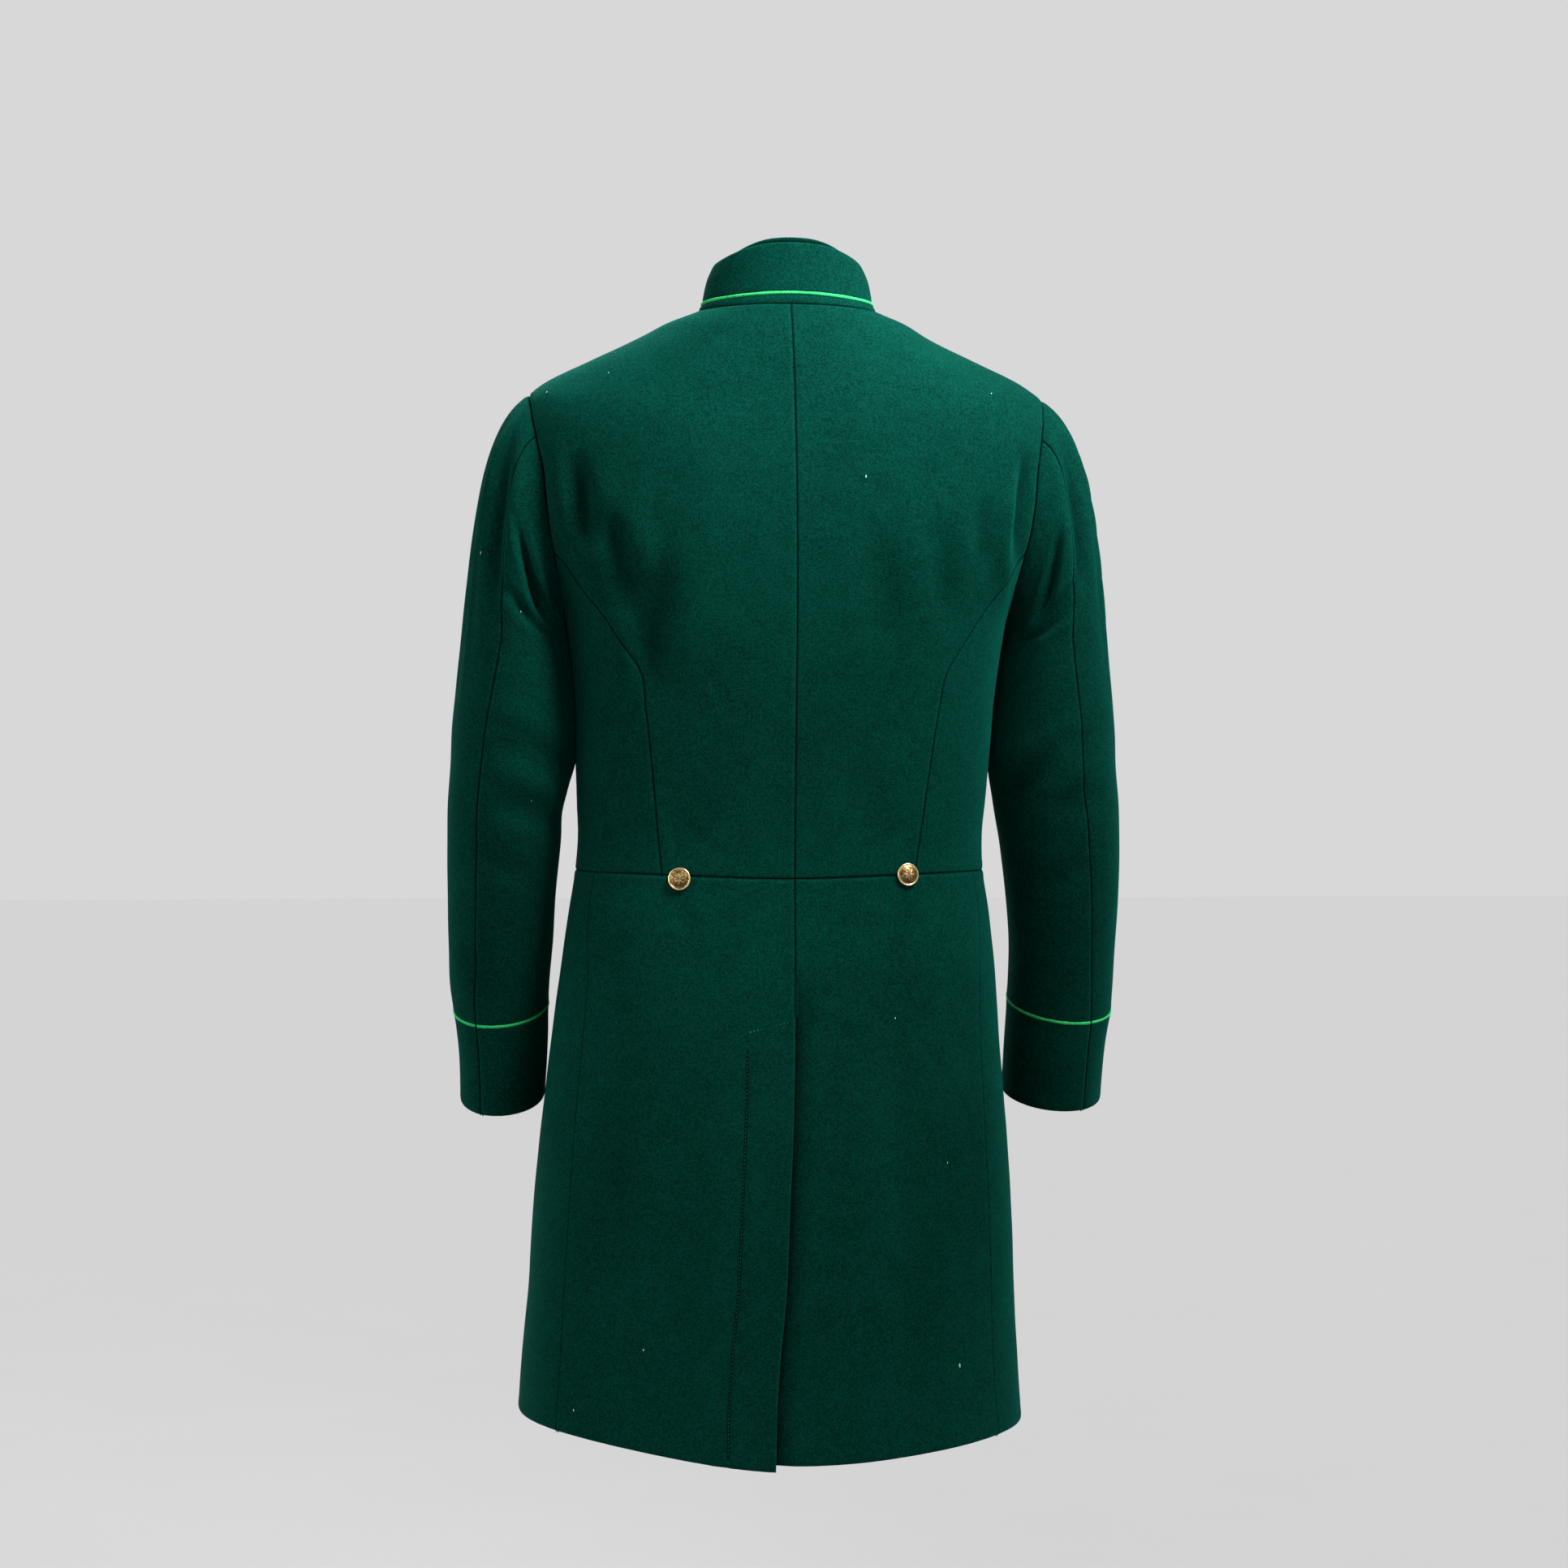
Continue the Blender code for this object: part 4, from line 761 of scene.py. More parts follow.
STITCH_FROM_EDGE, STITCH_FROM_TOP, STITCH_END_ROWS = 42.0, 30, 6
SLANT_START, SLANT_END, SLANT_POINTS = 13, 3, 12
levels, level, turn = skirt_grid(back_seam_turn, "left", SKIRT_BACK_WIDE, also=(STITCH_FROM_EDGE,))
vent_row = nearest_place(levels, VENT_TOP)
below = levels > VENT_TOP
toward_middle = smooth_step(turn[:1], turn[0, -1], turn[0, 0])
level[below] += LEFT_HEM_DROP * toward_middle * smooth_step(levels[below][:, None], HEM_DROP_FROM, HEM_LEVEL)
from_edge = lengths(plain_body(level, turn))
stitch_row = nearest_place(levels, VENT_TOP + STITCH_FROM_TOP)
stitch_column = nearest_place(from_edge[-1], STITCH_FROM_EDGE)
stitched = slice(stitch_row, -STITCH_END_ROWS)
lift = VENT_LIFT * smooth_step(levels, VENT_TOP, HEM_LEVEL)[:, None] * bell(from_edge, VENT_LIFT_WIDE)
skirt = lay_on_body(
    "skirt_back_cloth_left", level, turn, "left", -lift,
    sewn=("top", lambda points: points[:vent_row + 1, 0]),
    faint=("end",),
    turned=("bottom", lambda points: points[vent_row:, 0]),
    grooves=(lambda points: points[stitched, stitch_column],))
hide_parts("skirt_back_left")
stitch_line = body_skin(level[stitched, stitch_column], turn[stitched, stitch_column])
slant_start = body_skin(VENT_TOP + SLANT_START, turn[stitch_row, stitch_column])
slant_end = body_skin(VENT_TOP + SLANT_END, turn[vent_row, 2])

levels, level, turn = skirt_grid(back_seam_turn, "right", SKIRT_BACK_WIDE)
columns = spread(VENT_UNDERLAP, 8)[::-1]
middle_x = read_table(BACK_SEAM_COLUMNS, BACK_SEAM, levels, "x")
under = -np.stack([turn_at(levels, middle_x + column, "back") for column in columns[:-1]], axis=1)
slope_fade = 1 - smooth_step(levels, VENT_TOP, VENT_TOP + VENT_SLOPE_LONG)
slope = VENT_SLOPE * columns[:-1] / VENT_UNDERLAP * slope_fade[:, None]
turn = np.concatenate([under, turn], axis=1)
level = np.concatenate([levels[:, None] + slope, level], axis=1)
flap = len(columns) - 1
flap_row = nearest_place(levels, VENT_TOP - FLAP_ABOVE)
left_out = (np.arange(len(levels)) < flap_row)[:, None] & (np.arange(turn.shape[1]) < flap)[None, :]
x = plain_body(level, 2 * math.pi - turn)[..., 0]
opening = smooth_step(levels, VENT_TOP - OPENING_FROM, VENT_TOP - OPENING_TO)[:, None]
sunk = VENT_DEPTH * opening * smooth_step(x, middle_x[:, None] - SUNK_FROM, middle_x[:, None] - SUNK_TO)
sunk[:, :flap] = np.maximum(sunk[:, :flap], CLOTH_THICK + FLAP_CLEAR)
skirt = lay_on_body(
    "skirt_back_cloth_right", level, turn, "right", sunk,
    sewn=(lambda points: points[0, flap:], lambda points: points[:vent_row + 1, flap]),
    faint=("end",),
    turned=("bottom", lambda points: points[flap_row:, 0], lambda points: points[flap_row, :flap]),
    # A painted shadow on the underlap beside the free edge of the left skirt that lies over it.
    shaded=(lambda points: points[vent_row:, flap],),
    left_out=left_out)
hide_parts("skirt_back_right")

for side in ("left", "right"):
    levels, level, turn = skirt_grid(front_edge_turn, side, SKIRT_FRONT_WIDE)
    skirt = lay_on_body(f"skirt_front_cloth_{side}", level, turn, side, lap_sunk(level, turn, side),
                        sewn=("top",), faint=("end",), turned=("start", "bottom"))
    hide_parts(f"skirt_front_{side}")

# The vent stitching: one row of small machine stitches in waxed green thread that holds the facing of the
# vent, with a short slanting row of thicker stitches across its top, coloured paler as a painted highlight.
THREAD_RADIUS, STITCH_PITCH, STITCH_LONG, STITCH_START = 0.38, 3.4, 2.5, 0.4
BAR_RADIUS, THREAD_FLATTER, THREAD_SUNK = 0.7, 1.2, 0.15


def thread_material(name, colour):
    material, tree, shader, place = new_material(name, {"Roughness": 0.7, "Specular IOR Level": 0.08})
    shade = map_range(tree, noise(tree, place, 900.0, 3), 0.3, 0.7)
    tree.links.new(mix_colours(tree, shade, shade_of(colour, 0.45), colour), shader.inputs["Base Color"])
    return material


def stand_on(place, first, second, third):
    """Turns a mesh's axes to three directions and sets it at a place, both in millimetres."""
    matrix = Matrix([[*row] for row in np.stack([first, second, third], axis=1)]).to_4x4()
    matrix.translation = Vector(place)
    return Matrix.Scale(MM, 4) @ matrix


def face_outward(weld=None):
    """Turns the faces of the active mesh outward, and joins its points that lie in one place."""
    bpy.ops.object.mode_set(mode="EDIT")
    bpy.ops.mesh.select_all(action="SELECT")
    if weld is not None:
        bpy.ops.mesh.remove_doubles(threshold=weld)
    bpy.ops.mesh.normals_make_consistent(inside=False)
    bpy.ops.object.mode_set(mode="OBJECT")


def sew(name, path, outward, material, radius=THREAD_RADIUS):
    """A row of stitches along a path: short rounded threads that dip into the cloth at both ends."""
    gone = lengths(path)
    starts = np.arange(STITCH_START, gone[-1] - STITCH_LONG, STITCH_PITCH)
    bpy.ops.object.select_all(action="DESELECT")
    made = []
    for place in starts:
        bpy.ops.mesh.primitive_uv_sphere_add(segments=6, ring_count=6, radius=1)
        stitch = bpy.context.object
        ends = [np.array([np.interp(at, gone, path[:, part]) for part in range(3)])
                for at in (place, place + STITCH_LONG)]
        out = unit(np.array([np.interp(place, gone, outward[:, part]) for part in range(3)]))
        along = unit(ends[1] - ends[0])
        middle = (ends[0] + ends[1]) / 2 - out * THREAD_SUNK
        stitch.data.transform(stand_on(
            middle, np.cross(out, along) * radius * THREAD_FLATTER, out * radius, along * STITCH_LONG / 2))
        made.append(stitch)
    for stitch in made:
        stitch.select_set(True)
    bpy.context.view_layer.objects.active = made[0]
    bpy.ops.object.join()
    row = bpy.context.object
    row.name = row.data.name = name
    face_outward()
    bpy.ops.object.shade_smooth()
    row.data.materials.append(material)
    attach(row, "root")


def outward_near(points):
    """Outward direction of the back or front of the body at points that lie on it."""
    return unit(points * np.array((0.35, 1.0, 0.0)) + np.array((0, 0, 1e-6)))


green_thread = thread_material("green_thread", (0.0010, 0.042, 0.032, 1))
# The same green thread, coloured paler as a painted highlight on the proud slanting stitches.
proud_thread_painted_highlight = thread_material("green_thread_painted_highlight", (0.0030, 0.090, 0.068, 1))
sew("vent_stitches", stitch_line, outward_near(stitch_line), green_thread)
slant = np.linspace(slant_start, slant_end, SLANT_POINTS)
sew("vent_top_stitches", slant, outward_near(slant), proud_thread_painted_highlight, BAR_RADIUS)

# The sleeves: two pieces each, an upper and an under sleeve, set into the armhole with the fullness eased in
# over the shoulder. The hind seam runs on down through the cuff.
SLEEVE_COLUMNS = (
    "along", "outer_left", "inner_left", "outer_right", "inner_right", "y_middle", "half_depth", "drop_back",
    "drop_out", "seam_left", "seam_right",
)
SLEEVE = (
    (300, 296.5, 198.0, 298, 200.6, -2, 72, 0, 0, 75, 83),
    (340, 300.5, 193.4, 302, 195.6, -2, 70, 0, 0, 68, 78),
    (380, 304.5, 191.6, 305.5, 191.0, -3, 68, 2, 0, 62, 73),
    (412, 306, 191.8, 306.5, 188.6, -4, 66, 4, 0, 59, 71),
    (448, 308.5, 202, 310, 194, -8, 63.5, 6, 1, 60, 71),
    (490, 309, 205.5, 312, 201.5, -14, 61, 8, 1, 61, 70),
    (530, 308.5, 209.5, 312.5, 207, -21, 59, 10, 2, 61, 69),
    (575, 307.5, 212, 311, 212, -30, 56.5, 12.5, 3, 60, 67),
    (615, 306, 215, 310, 213, -39, 54.5, 15, 4, 59, 64),
    (636, 303, 216, 309, 212.5, -43, 53.5, 15.5, 4, 58, 62),
    (664, 299.5, 216, 305, 211.5, -47, 52.5, 15.5, 3.5, 57, 60),
    (720, 297, 219, 302, 209.5, -58, 51, 14.5, 2.5, 58, 59),
)
UPPER_ARM, CUFF_TOP, CUFF_HEM = 300.0, 636.0, 720.0
HIND_SEAM_ANGLE, FORE_SEAM_ANGLE = 56.0, 245.0
SLEEVE_RADIUS, SLEEVE_CUT = 60.0, 0.9
LEAVE_TOP, LEAVE_UNDER, LEAVE_APART, CAP_FULL, CAP_ARRIVES = (0.88, -0.47), (0.22, -0.97), 0.3, 0.65, 1.3
CREASES_FROM, SWELL_FROM, PULL_TO, SLEEVE_SWELL = 14, 30, 26, 1.3
SLEEVE_STEPS, SLEEVE_SKIN_STEPS = (8.0, 0.1), (4.0, 0.05)
# Creases of the sleeves: down the sleeve and round it in degrees (0 outside, 90 back, 180 against the body),
# to the same at the other end, the bow sideways, half the width and the depth.
SLEEVE_CREASES = {
    "left": (
        (66, 46, 262, 63, 3, 10, 8.0),
        (132, 84, 246, 124, 5, 8, 8.2),
        (96, 96, 196, 140, 4, 9, -2.4),
        (225, 76, 296, 128, 4, 10, 3.4),
        (22, 33, 330, 27, 3, 4, -2.4),
        (18, 22, 330, 17, 3, 4, 1.8),
        (150, 100, 216, 132, 4, 4, 2.4),
        (392, 70, 424, 172, 5, 12, 3.4),
        (440, 84, 462, 176, -4, 10, 2.6),
        (398, 268, 428, 196, 5, 12, 3.6),
        (450, 300, 470, 230, -4, 12, 2.6),
        (90, 318, 250, 290, -3, 13, 3.4),
        (160, 282, 270, 246, -3, 12, 3.4),
        (565, 44, 620, 84, 3, 12, 1.6),
        (572, 304, 622, 266, -3, 12, 1.8),
        (180, 96, 240, 108, 2, 5, 1.2),
        (412, 110, 440, 150, 3, 5, 1.1),
        (372, 60, 396, 120, 4, 7, 1.0),
        (480, 60, 506, 120, -4, 9, 1.0),
        (20, 30, 60, 34, 1, 5, 0.7),
        (18, 345, 62, 340, 1, 5, 0.7),
    ),
    "right": (
        (120, 88, 240, 118, 4, 8, 8.0),
        (60, 50, 235, 66, 3, 10, 6.4),
        (205, 72, 288, 126, 4, 10, 3.6),
        (22, 34, 330, 28, 3, 4, -2.4),
        (18, 23, 330, 18, 3, 4, 1.8),
        (250, 84, 320, 140, 4, 8, 2.4),
        (404, 96, 446, 150, 5, 11, 3.6),
        (430, 60, 452, 100, 3, 12, 2.0),
        (398, 262, 430, 200, 5, 12, 3.4),
        (446, 296, 474, 232, -4, 12, 2.6),
        (90, 320, 255, 288, -3, 13, 3.2),
        (160, 284, 270, 248, -3, 12, 3.4),
        (418, 100, 448, 140, 4, 5, 1.2),
        (384, 62, 404, 112, 4, 7, 1.0),
        (488, 64, 512, 118, -4, 9, 1.0),
        (24, 28, 64, 34, 1, 5, 0.7),
        (18, 345, 62, 340, 1, 5, 0.7),
    ),
}


def sleeve(along, name):
    return read_table(SLEEVE_COLUMNS, SLEEVE, along, name)


def arm_ring(along, angle, side):
    """Sleeve below the upper arm: an oval section that follows the arm forward to the wrist."""
    outer, inner = sleeve(along, f"outer_{side}"), sleeve(along, f"inner_{side}")
    back, out = np.sin(angle), np.cos(angle)
    x = (outer + inner) / 2 + (outer - inner) / 2 * out
    y = sleeve(along, "y_middle") + sleeve(along, "half_depth") * back
    z = -along - sleeve(along, "drop_back") * back - sleeve(along, "drop_out") * out
    return np.stack(np.broadcast_arrays(on_side(side, x), y, z), axis=-1)


def plain_sleeve(along, angle, side):
    """Sleeve without creases: a cap from the armhole seam, and then the arm's rings."""
    along, angle = np.broadcast_arrays(np.asarray(along, dtype=float), np.asarray(angle, dtype=float))
    below = arm_ring(np.maximum(along, UPPER_ARM), angle, side)
    turn = armhole_turn(angle)
    start = plain_body(armhole_level(angle), turn if side == "left" else 2 * math.pi - turn)
    end = arm_ring(np.full(along.shape, UPPER_ARM), angle, side)
    down = unit(arm_ring(np.full(along.shape, UPPER_ARM + 5), angle, side) - end)
    low = ((1 - np.cos(angle)) / 2)[..., None] ** 2
    top, under = (np.array((on_side(side, out), 0, up)) for out, up in (LEAVE_TOP, LEAVE_UNDER))
    leave = top * (1 - low) + under * low
    leave[..., 1] += LEAVE_APART * np.sin(angle)
    chord = np.linalg.norm(end - start, axis=-1, keepdims=True)
    t = np.clip(along / UPPER_ARM, 0, 1)[..., None]
    rise = t * t * (3 - 2 * t)
    cap = start * (1 - rise) + end * rise
    cap = cap + unit(leave) * chord * CAP_FULL * t * (1 - t) ** 2
    cap = cap + down * chord * CAP_ARRIVES * t * t * (t - 1)
    return np.where(along[..., None] < UPPER_ARM, cap, below)


def sleeve_outward(surface, along, angle, side, steps=SLEEVE_STEPS):
    outward = outward_of(lambda first, second: surface(first, second, side), along, angle, *steps)
    return outward if side == "right" else -outward


def sleeve_skin(along, angle, side):
    along, angle = np.broadcast_arrays(np.asarray(along, dtype=float), np.asarray(angle, dtype=float))
    points = plain_sleeve(along, angle, side)
    outward = sleeve_outward(plain_sleeve, along, angle, side)
    round_sleeve = (np.mod(angle + SLEEVE_CUT, 2 * math.pi) - SLEEVE_CUT) * SLEEVE_RADIUS
    creases = [(math.radians(t0) * SLEEVE_RADIUS, a0, math.radians(t1) * SLEEVE_RADIUS, a1, bow, wide, deep)
               for a0, t0, a1, t1, bow, wide, deep in SLEEVE_CREASES[side]]
    depth = crease_depth(creases, round_sleeve, along) * smooth_step(along, 0, CREASES_FROM)
    swell = handle_waves(points[..., 0] * SLEEVE_SWELL, points[..., 1], points[..., 2])
    swell = swell * smooth_step(along, 0, SWELL_FROM)
    turn = armhole_turn(angle) if side == "left" else 2 * math.pi - armhole_turn(angle)
    pull = body_skin(armhole_level(angle), turn) - plain_body(armhole_level(angle), turn)
    pull = pull * (1 - smooth_step(along, 0, PULL_TO))[..., None]
    return points + pull + outward * (swell - depth)[..., None]


def sleeve_seam(along, side, seam):
    """Angle of the hind or fore seam down the sleeve, in radians."""
    along = np.asarray(along, dtype=float)
    if seam == "fore":
        return np.radians(FORE_SEAM_ANGLE) + 0 * along
    blend = smooth_step(along, 0, UPPER_ARM)
    below = sleeve(np.maximum(along, UPPER_ARM), f"seam_{side}")
    return np.radians(HIND_SEAM_ANGLE * (1 - blend) + below * blend)


def sleeve_grid(rows, part, side, count):
    """Places down and angles round the sleeve of a grid between its two seams, close together near them."""
    hind, fore = sleeve_seam(rows, side, "hind"), sleeve_seam(rows, side, "fore")
    start, end = (fore - 2 * math.pi, hind) if part == "top" else (hind, fore)
    share = np.linspace(0, 1, SHARE_STEPS)
    angle = start[:, None] + (end - start)[:, None] * share
    gone = lengths(plain_sleeve(rows[:, None], angle, side))
    angle = np.array([np.interp(spread(row[-1], count), row, values) for row, values in zip(gone, angle)])
    return np.repeat(rows[:, None], angle.shape[1], axis=1), angle


SLEEVE_CELLS = {"top": cells_over(190), "under": cells_over(160)}


def lay_on_arm(name, rows, part, side, sewn, turned=()):
    along, angle = sleeve_grid(rows, part, side, SLEEVE_CELLS[part])
    points = sleeve_skin(along, angle, side)
    outward = sleeve_outward(sleeve_skin, along, angle, side, SLEEVE_SKIN_STEPS)
    # Depth of the creases, used for painted shade in them.
    pressed = ((plain_sleeve(along, angle, side) - points) * outward).sum(axis=-1)
    sides = sides_of(points)
    return lay_cloth(name, points, outward, pressed=pressed,
                     sewn=[sides[edge] for edge in sewn], turned=[sides[edge] for edge in turned])


SLEEVE_SHEETS = {"top": ((0.26, 0.66), 0.105), "under": ((0.19, 0.56), 0.078)}
for side in ("left", "right"):
    for part, (flat, area) in SLEEVE_SHEETS.items():
        rows = spread(CUFF_TOP, cells_over(CUFF_TOP))
        cloth = lay_on_arm(f"{part}_sleeve_cloth_{side}", rows, part, side, ("top", "bottom", "start", "end"))
        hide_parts(f"{part}_sleeve_{side}")

# The cuffs: plain, set flush with the sleeve, in two pieces that meet at the sleeve's seams. Their lower edges
# are turned up as a hem.
for side in ("left", "right"):
    for part in ("top", "under"):
        rows = CUFF_TOP + spread(CUFF_HEM - CUFF_TOP, cells_over(CUFF_HEM - CUFF_TOP))
        cloth = lay_on_arm(f"cuff_{part}_cloth_{side}", rows, part, side, ("top", "start", "end"), ("bottom",))
        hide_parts(f"cuff_{part}_{side}")

# The collar: a stiffened stand collar of the same wool on a narrow foot, with a facing inside that shows as a
# thin edge above it. A band of painted shadow darkens the facing just above the collar's top edge.
COLLAR_COLUMNS = ("height", "z_back", "z_side", "z_front", "half_width", "y_back", "y_front")
COLLAR = (
    (0, 2, 1, -45, 82, 62, 64),
    (9, 11.5, 9.5, -37, 78.4, 58.5, 61),
    (23, 28, 22.5, -24, 76, 55.5, 59),
    (36, 43.5, 34.5, -11, 72.4, 53, 57.5),
    (46, 58.5, 45, 1, 67, 50.5, 56),
)
COLLAR_SWAY, COLLAR_PIPING_HEIGHT, COLLAR_TOP = -2.0, 8.2, 46.0
COLLAR_LONG, COLLAR_CELLS, COLLAR_ROW_STEP = 430.0, 110, 3
COLLAR_END_GAP, COLLAR_ENDS_PART, COLLAR_FRONT_REACH, ENDS_PART_FROM = 1.2, 3.2, 60, 20
PIPING_RADIUS, PIPING_RISE, PIPING_RISE_OUT = 1.6, 1.6, (12, 30)
TOP_FULLER, FULLER_FROM, COLLAR_SWELL = 3.0, 9, 0.12
FACING_LOW, FACING_RISE, FACING_THICK, FACING_BEHIND = 1.5, 4.4, 1.5, CLOTH_THICK + 0.4
FACING_LEAN, FACING_LEAN_FROM, FACING_SHADE, FACING_SHADE_WIDE = 3.0, 30, 1.4, 1.7
COLLAR_STEPS = (0.5, 0.004)


def collar_skin(height, turn):
    """Outer skin of the collar, higher over the piping behind and a little fuller at the upper back corners."""
    back, side = np.cos(turn), np.sin(turn)

    def value(name):
        return read_table(COLLAR_COLUMNS, COLLAR, height, name)

    deep = np.where(back >= 0, value("y_back"), value("y_front"))
    reach = ((side / value("half_width")) ** 2 + (back / deep) ** 2) ** -0.5
    end = np.where(back >= 0, value("z_back"), value("z_front"))
    z = value("z_side") + (end - value("z_side")) * back ** 2
    fuller = TOP_FULLER * smooth_step(height, FULLER_FROM, COLLAR_TOP) * np.sin(2 * turn) ** 2 * (back > 0)
    raised = smooth_step(height, 0, COLLAR_PIPING_HEIGHT) * (1 - smooth_step(height, *PIPING_RISE_OUT))
    z = z + fuller + PIPING_RISE * raised * np.maximum(back, 0) ** 2
    return np.stack(np.broadcast_arrays(COLLAR_SWAY + reach * side, reach * back, z), axis=-1)


def collar_outward(height, turn):
    return -outward_of(collar_skin, height, turn, *COLLAR_STEPS)


def collar_grid(low, high, count):
    """Heights and turns from the left end by the back to the right end. The ends part a little above."""
    heights = spread(high - low, count) + low
    gap = COLLAR_END_GAP + COLLAR_ENDS_PART * smooth_step(heights, ENDS_PART_FROM, COLLAR_TOP)
    part = gap / 2 / COLLAR_FRONT_REACH
    shares = spread(COLLAR_LONG, COLLAR_CELLS) / COLLAR_LONG
    turn = (math.pi - part)[:, None] * (1 - shares) + (part - math.pi)[:, None] * shares
    return np.repeat(heights[:, None], turn.shape[1], axis=1), turn


beside = PIPING_RADIUS * 0.8
free_sides = ("bottom", "start", "end")
for name, low, high, sewn, turned, flat, area in (
    ("collar_foot", 0.0, COLLAR_PIPING_HEIGHT - beside, ("top", "bottom"), ("start", "end"),
     (0.46, 0.012), 0.0045),
    ("collar", COLLAR_PIPING_HEIGHT + beside, COLLAR_TOP, ("top",), free_sides, (0.44, 0.05), 0.0165),
    ("collar_facing", FACING_LOW, COLLAR_TOP + FACING_RISE, ("top",), free_sides, (0.44, 0.055), 0.0215),
):
    facing = name == "collar_facing"
    height, turn = collar_grid(low, high, max(3, int((high - low) / COLLAR_ROW_STEP)))
    outward = collar_outward(height, turn)
    inward = 0.0
    if facing:
        lean = FACING_LEAN * smooth_step(height, FACING_LEAN_FROM, COLLAR_TOP + FACING_RISE)
        inward = FACING_BEHIND + lean[..., None]
    points = collar_skin(height, turn) - outward * inward
    swell = COLLAR_SWELL * np.sin(points[..., 0] / 9 + 1) * np.sin(points[..., 2] / 7)
    points = points + outward * swell[..., None]
    sides = sides_of(points)
    # Painted shadow along the facing, just above the collar's top edge.
    behind_edge = points[nearest_place(height[:, 0], COLLAR_TOP + FACING_SHADE)]
    cloth = lay_cloth(f"{name}_cloth", points, outward, shaded=[behind_edge] if facing else (),
                      sewn=[sides[edge] for edge in sewn], turned=[sides[edge] for edge in turned],
                      thick=FACING_THICK if facing else CLOTH_THICK, shade_wide=FACING_SHADE_WIDE)
    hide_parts(name)

# The piping: narrow folds of bright green cloth over a cord, caught in the seam at the collar foot and along
# the upper edges of the cuffs, where it ends at the sleeve seams.
bright_wool = wool(
    "bright_green_piping", dark=(0.006, 0.17, 0.045, 1), light=(0.030, 0.42, 0.12, 1),
    lint_colour=(0.3, 0.6, 0.35, 1), fibre_scale=1900.0, bump=0.5, sheen=0.1, sheen_tint=(0.4, 1.0, 0.6, 1))
PIPING_SUNK, PIPING_END = PIPING_RADIUS * 0.45, 0.55


def pipe(name, node, skin, outward):
    """A covered cord in a seam of the skin, a little uneven in thickness, with closed narrow ends."""
    path = (skin - outward * PIPING_SUNK)[2:-2]
    curve = bpy.data.curves.new(name, "CURVE")
    curve.dimensions = "3D"
    curve.bevel_depth = PIPING_RADIUS * MM
    curve.bevel_resolution = 4
    curve.use_fill_caps = True
    spline = curve.splines.new("POLY")
    spline.points.add(len(path) - 1)
    for number, (point, place) in enumerate(zip(path, spline.points)):
        place.co = (*(point * MM), 1)
        place.radius = 1 + 0.05 * math.sin(number * 0.9) + 0.04 * math.sin(number * 0.37 + 1)
    spline.points[0].radius = spline.points[-1].radius = PIPING_END
    piece = bpy.data.objects.new(name, curve)
    bpy.context.collection.objects.link(piece)
    bpy.ops.object.select_all(action="DESELECT")
    piece.select_set(True)
    bpy.context.view_layer.objects.active = piece
    bpy.ops.object.convert(target="MESH")
    piece = bpy.context.object
    piece.name = name
    face_outward(weld=1e-6)
    bpy.ops.object.shade_smooth_by_angle(angle=math.radians(60))
    piece.data.materials.clear()
    piece.data.materials.append(bright_wool)
    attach(piece, "root")
    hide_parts(node)


height, turn = collar_grid(COLLAR_PIPING_HEIGHT, COLLAR_PIPING_HEIGHT + 1, 3)
pipe("collar_piping", "piping_collar", collar_skin(height, turn)[0], collar_outward(height, turn)[0])
for side in ("left", "right"):
    for part in ("top", "under"):
        along, angle = sleeve_grid(np.array((CUFF_TOP,)), part, side, SLEEVE_CELLS[part])
        pipe(f"cuff_{part}_piping_{side}", f"piping_cuff_{part}_{side}",
             sleeve_skin(along, angle, side)[0], sleeve_outward(sleeve_skin, along, angle, side)[0])

# The buttons: domed and gilt, struck from thin brass over a flat back, with a raised bright rim round a darker
# field that carries a plain ring of low petals. Two mark the waist behind, and a row of nine closes the front.
BUTTON_PROFILE = (
    (8.4, 0.0), (9.4, 0.25), (10.0, 0.8), (10.2, 1.4), (10.1, 2.0), (9.7, 2.5), (9.2, 2.6), (8.8, 2.35),
    (8.5, 2.1), (8.1, 2.2), (7.2, 2.7), (6.0, 3.2), (4.7, 3.65), (3.3, 3.95), (1.8, 4.1), (0.7, 4.15),
)
BUTTON_SEAT, BUTTON_SIDES = 0.6, 56
WAIST_BUTTON_REACH, LEFT_BUTTON_DROP = 101.5, 3.0
FRONT_BUTTONS, FRONT_BUTTON_FIRST, FRONT_BUTTON_LAST = 9, 22.0, 490.0
FIELD_RADIUS, PETAL_RADIUS, PETAL_WIDE, PETAL_HIGH, PETALS = 7.6, 2.6, 1.5, 0.35, 8
FIELD_RUBBED, PETAL_RUBBED, RIM_RUBBED, SIDE_RUBBED = 0.04, 0.62, 0.95, 0.2
RIM_INSIDE, RIM_ABOVE, FIELD_ABOVE = 8.8, 1.8, 1


def gilt_brass():
    """Old gilt brass: bright where it is rubbed on the rim and the raised work, brown in the hollows."""
    material, tree, shader, place = new_material("old_gilt_brass", {"Metallic": 1.0})
    worn = tree.nodes.new("ShaderNodeAttribute")
    worn.attribute_name = "wear_and_painted_highlight"
    spots = map_range(tree, noise(tree, place, 420.0, 4), 0.35, 0.65, -0.25, 0.2)
    share = maths(tree, "ADD", worn.outputs["Fac"], spots, clamp=True)
    colour = mix_colours(tree, share, (0.085, 0.046, 0.012, 1), (0.80, 0.60, 0.31, 1))
    tree.links.new(colour, shader.inputs["Base Color"])
    tree.links.new(map_range(tree, share, 0.0, 1.0, 0.46, 0.22), shader.inputs["Roughness"])
    raise_relief(tree, shader, noise(tree, place, 2200.0, 3), 0.35, 0.0002)
    return material


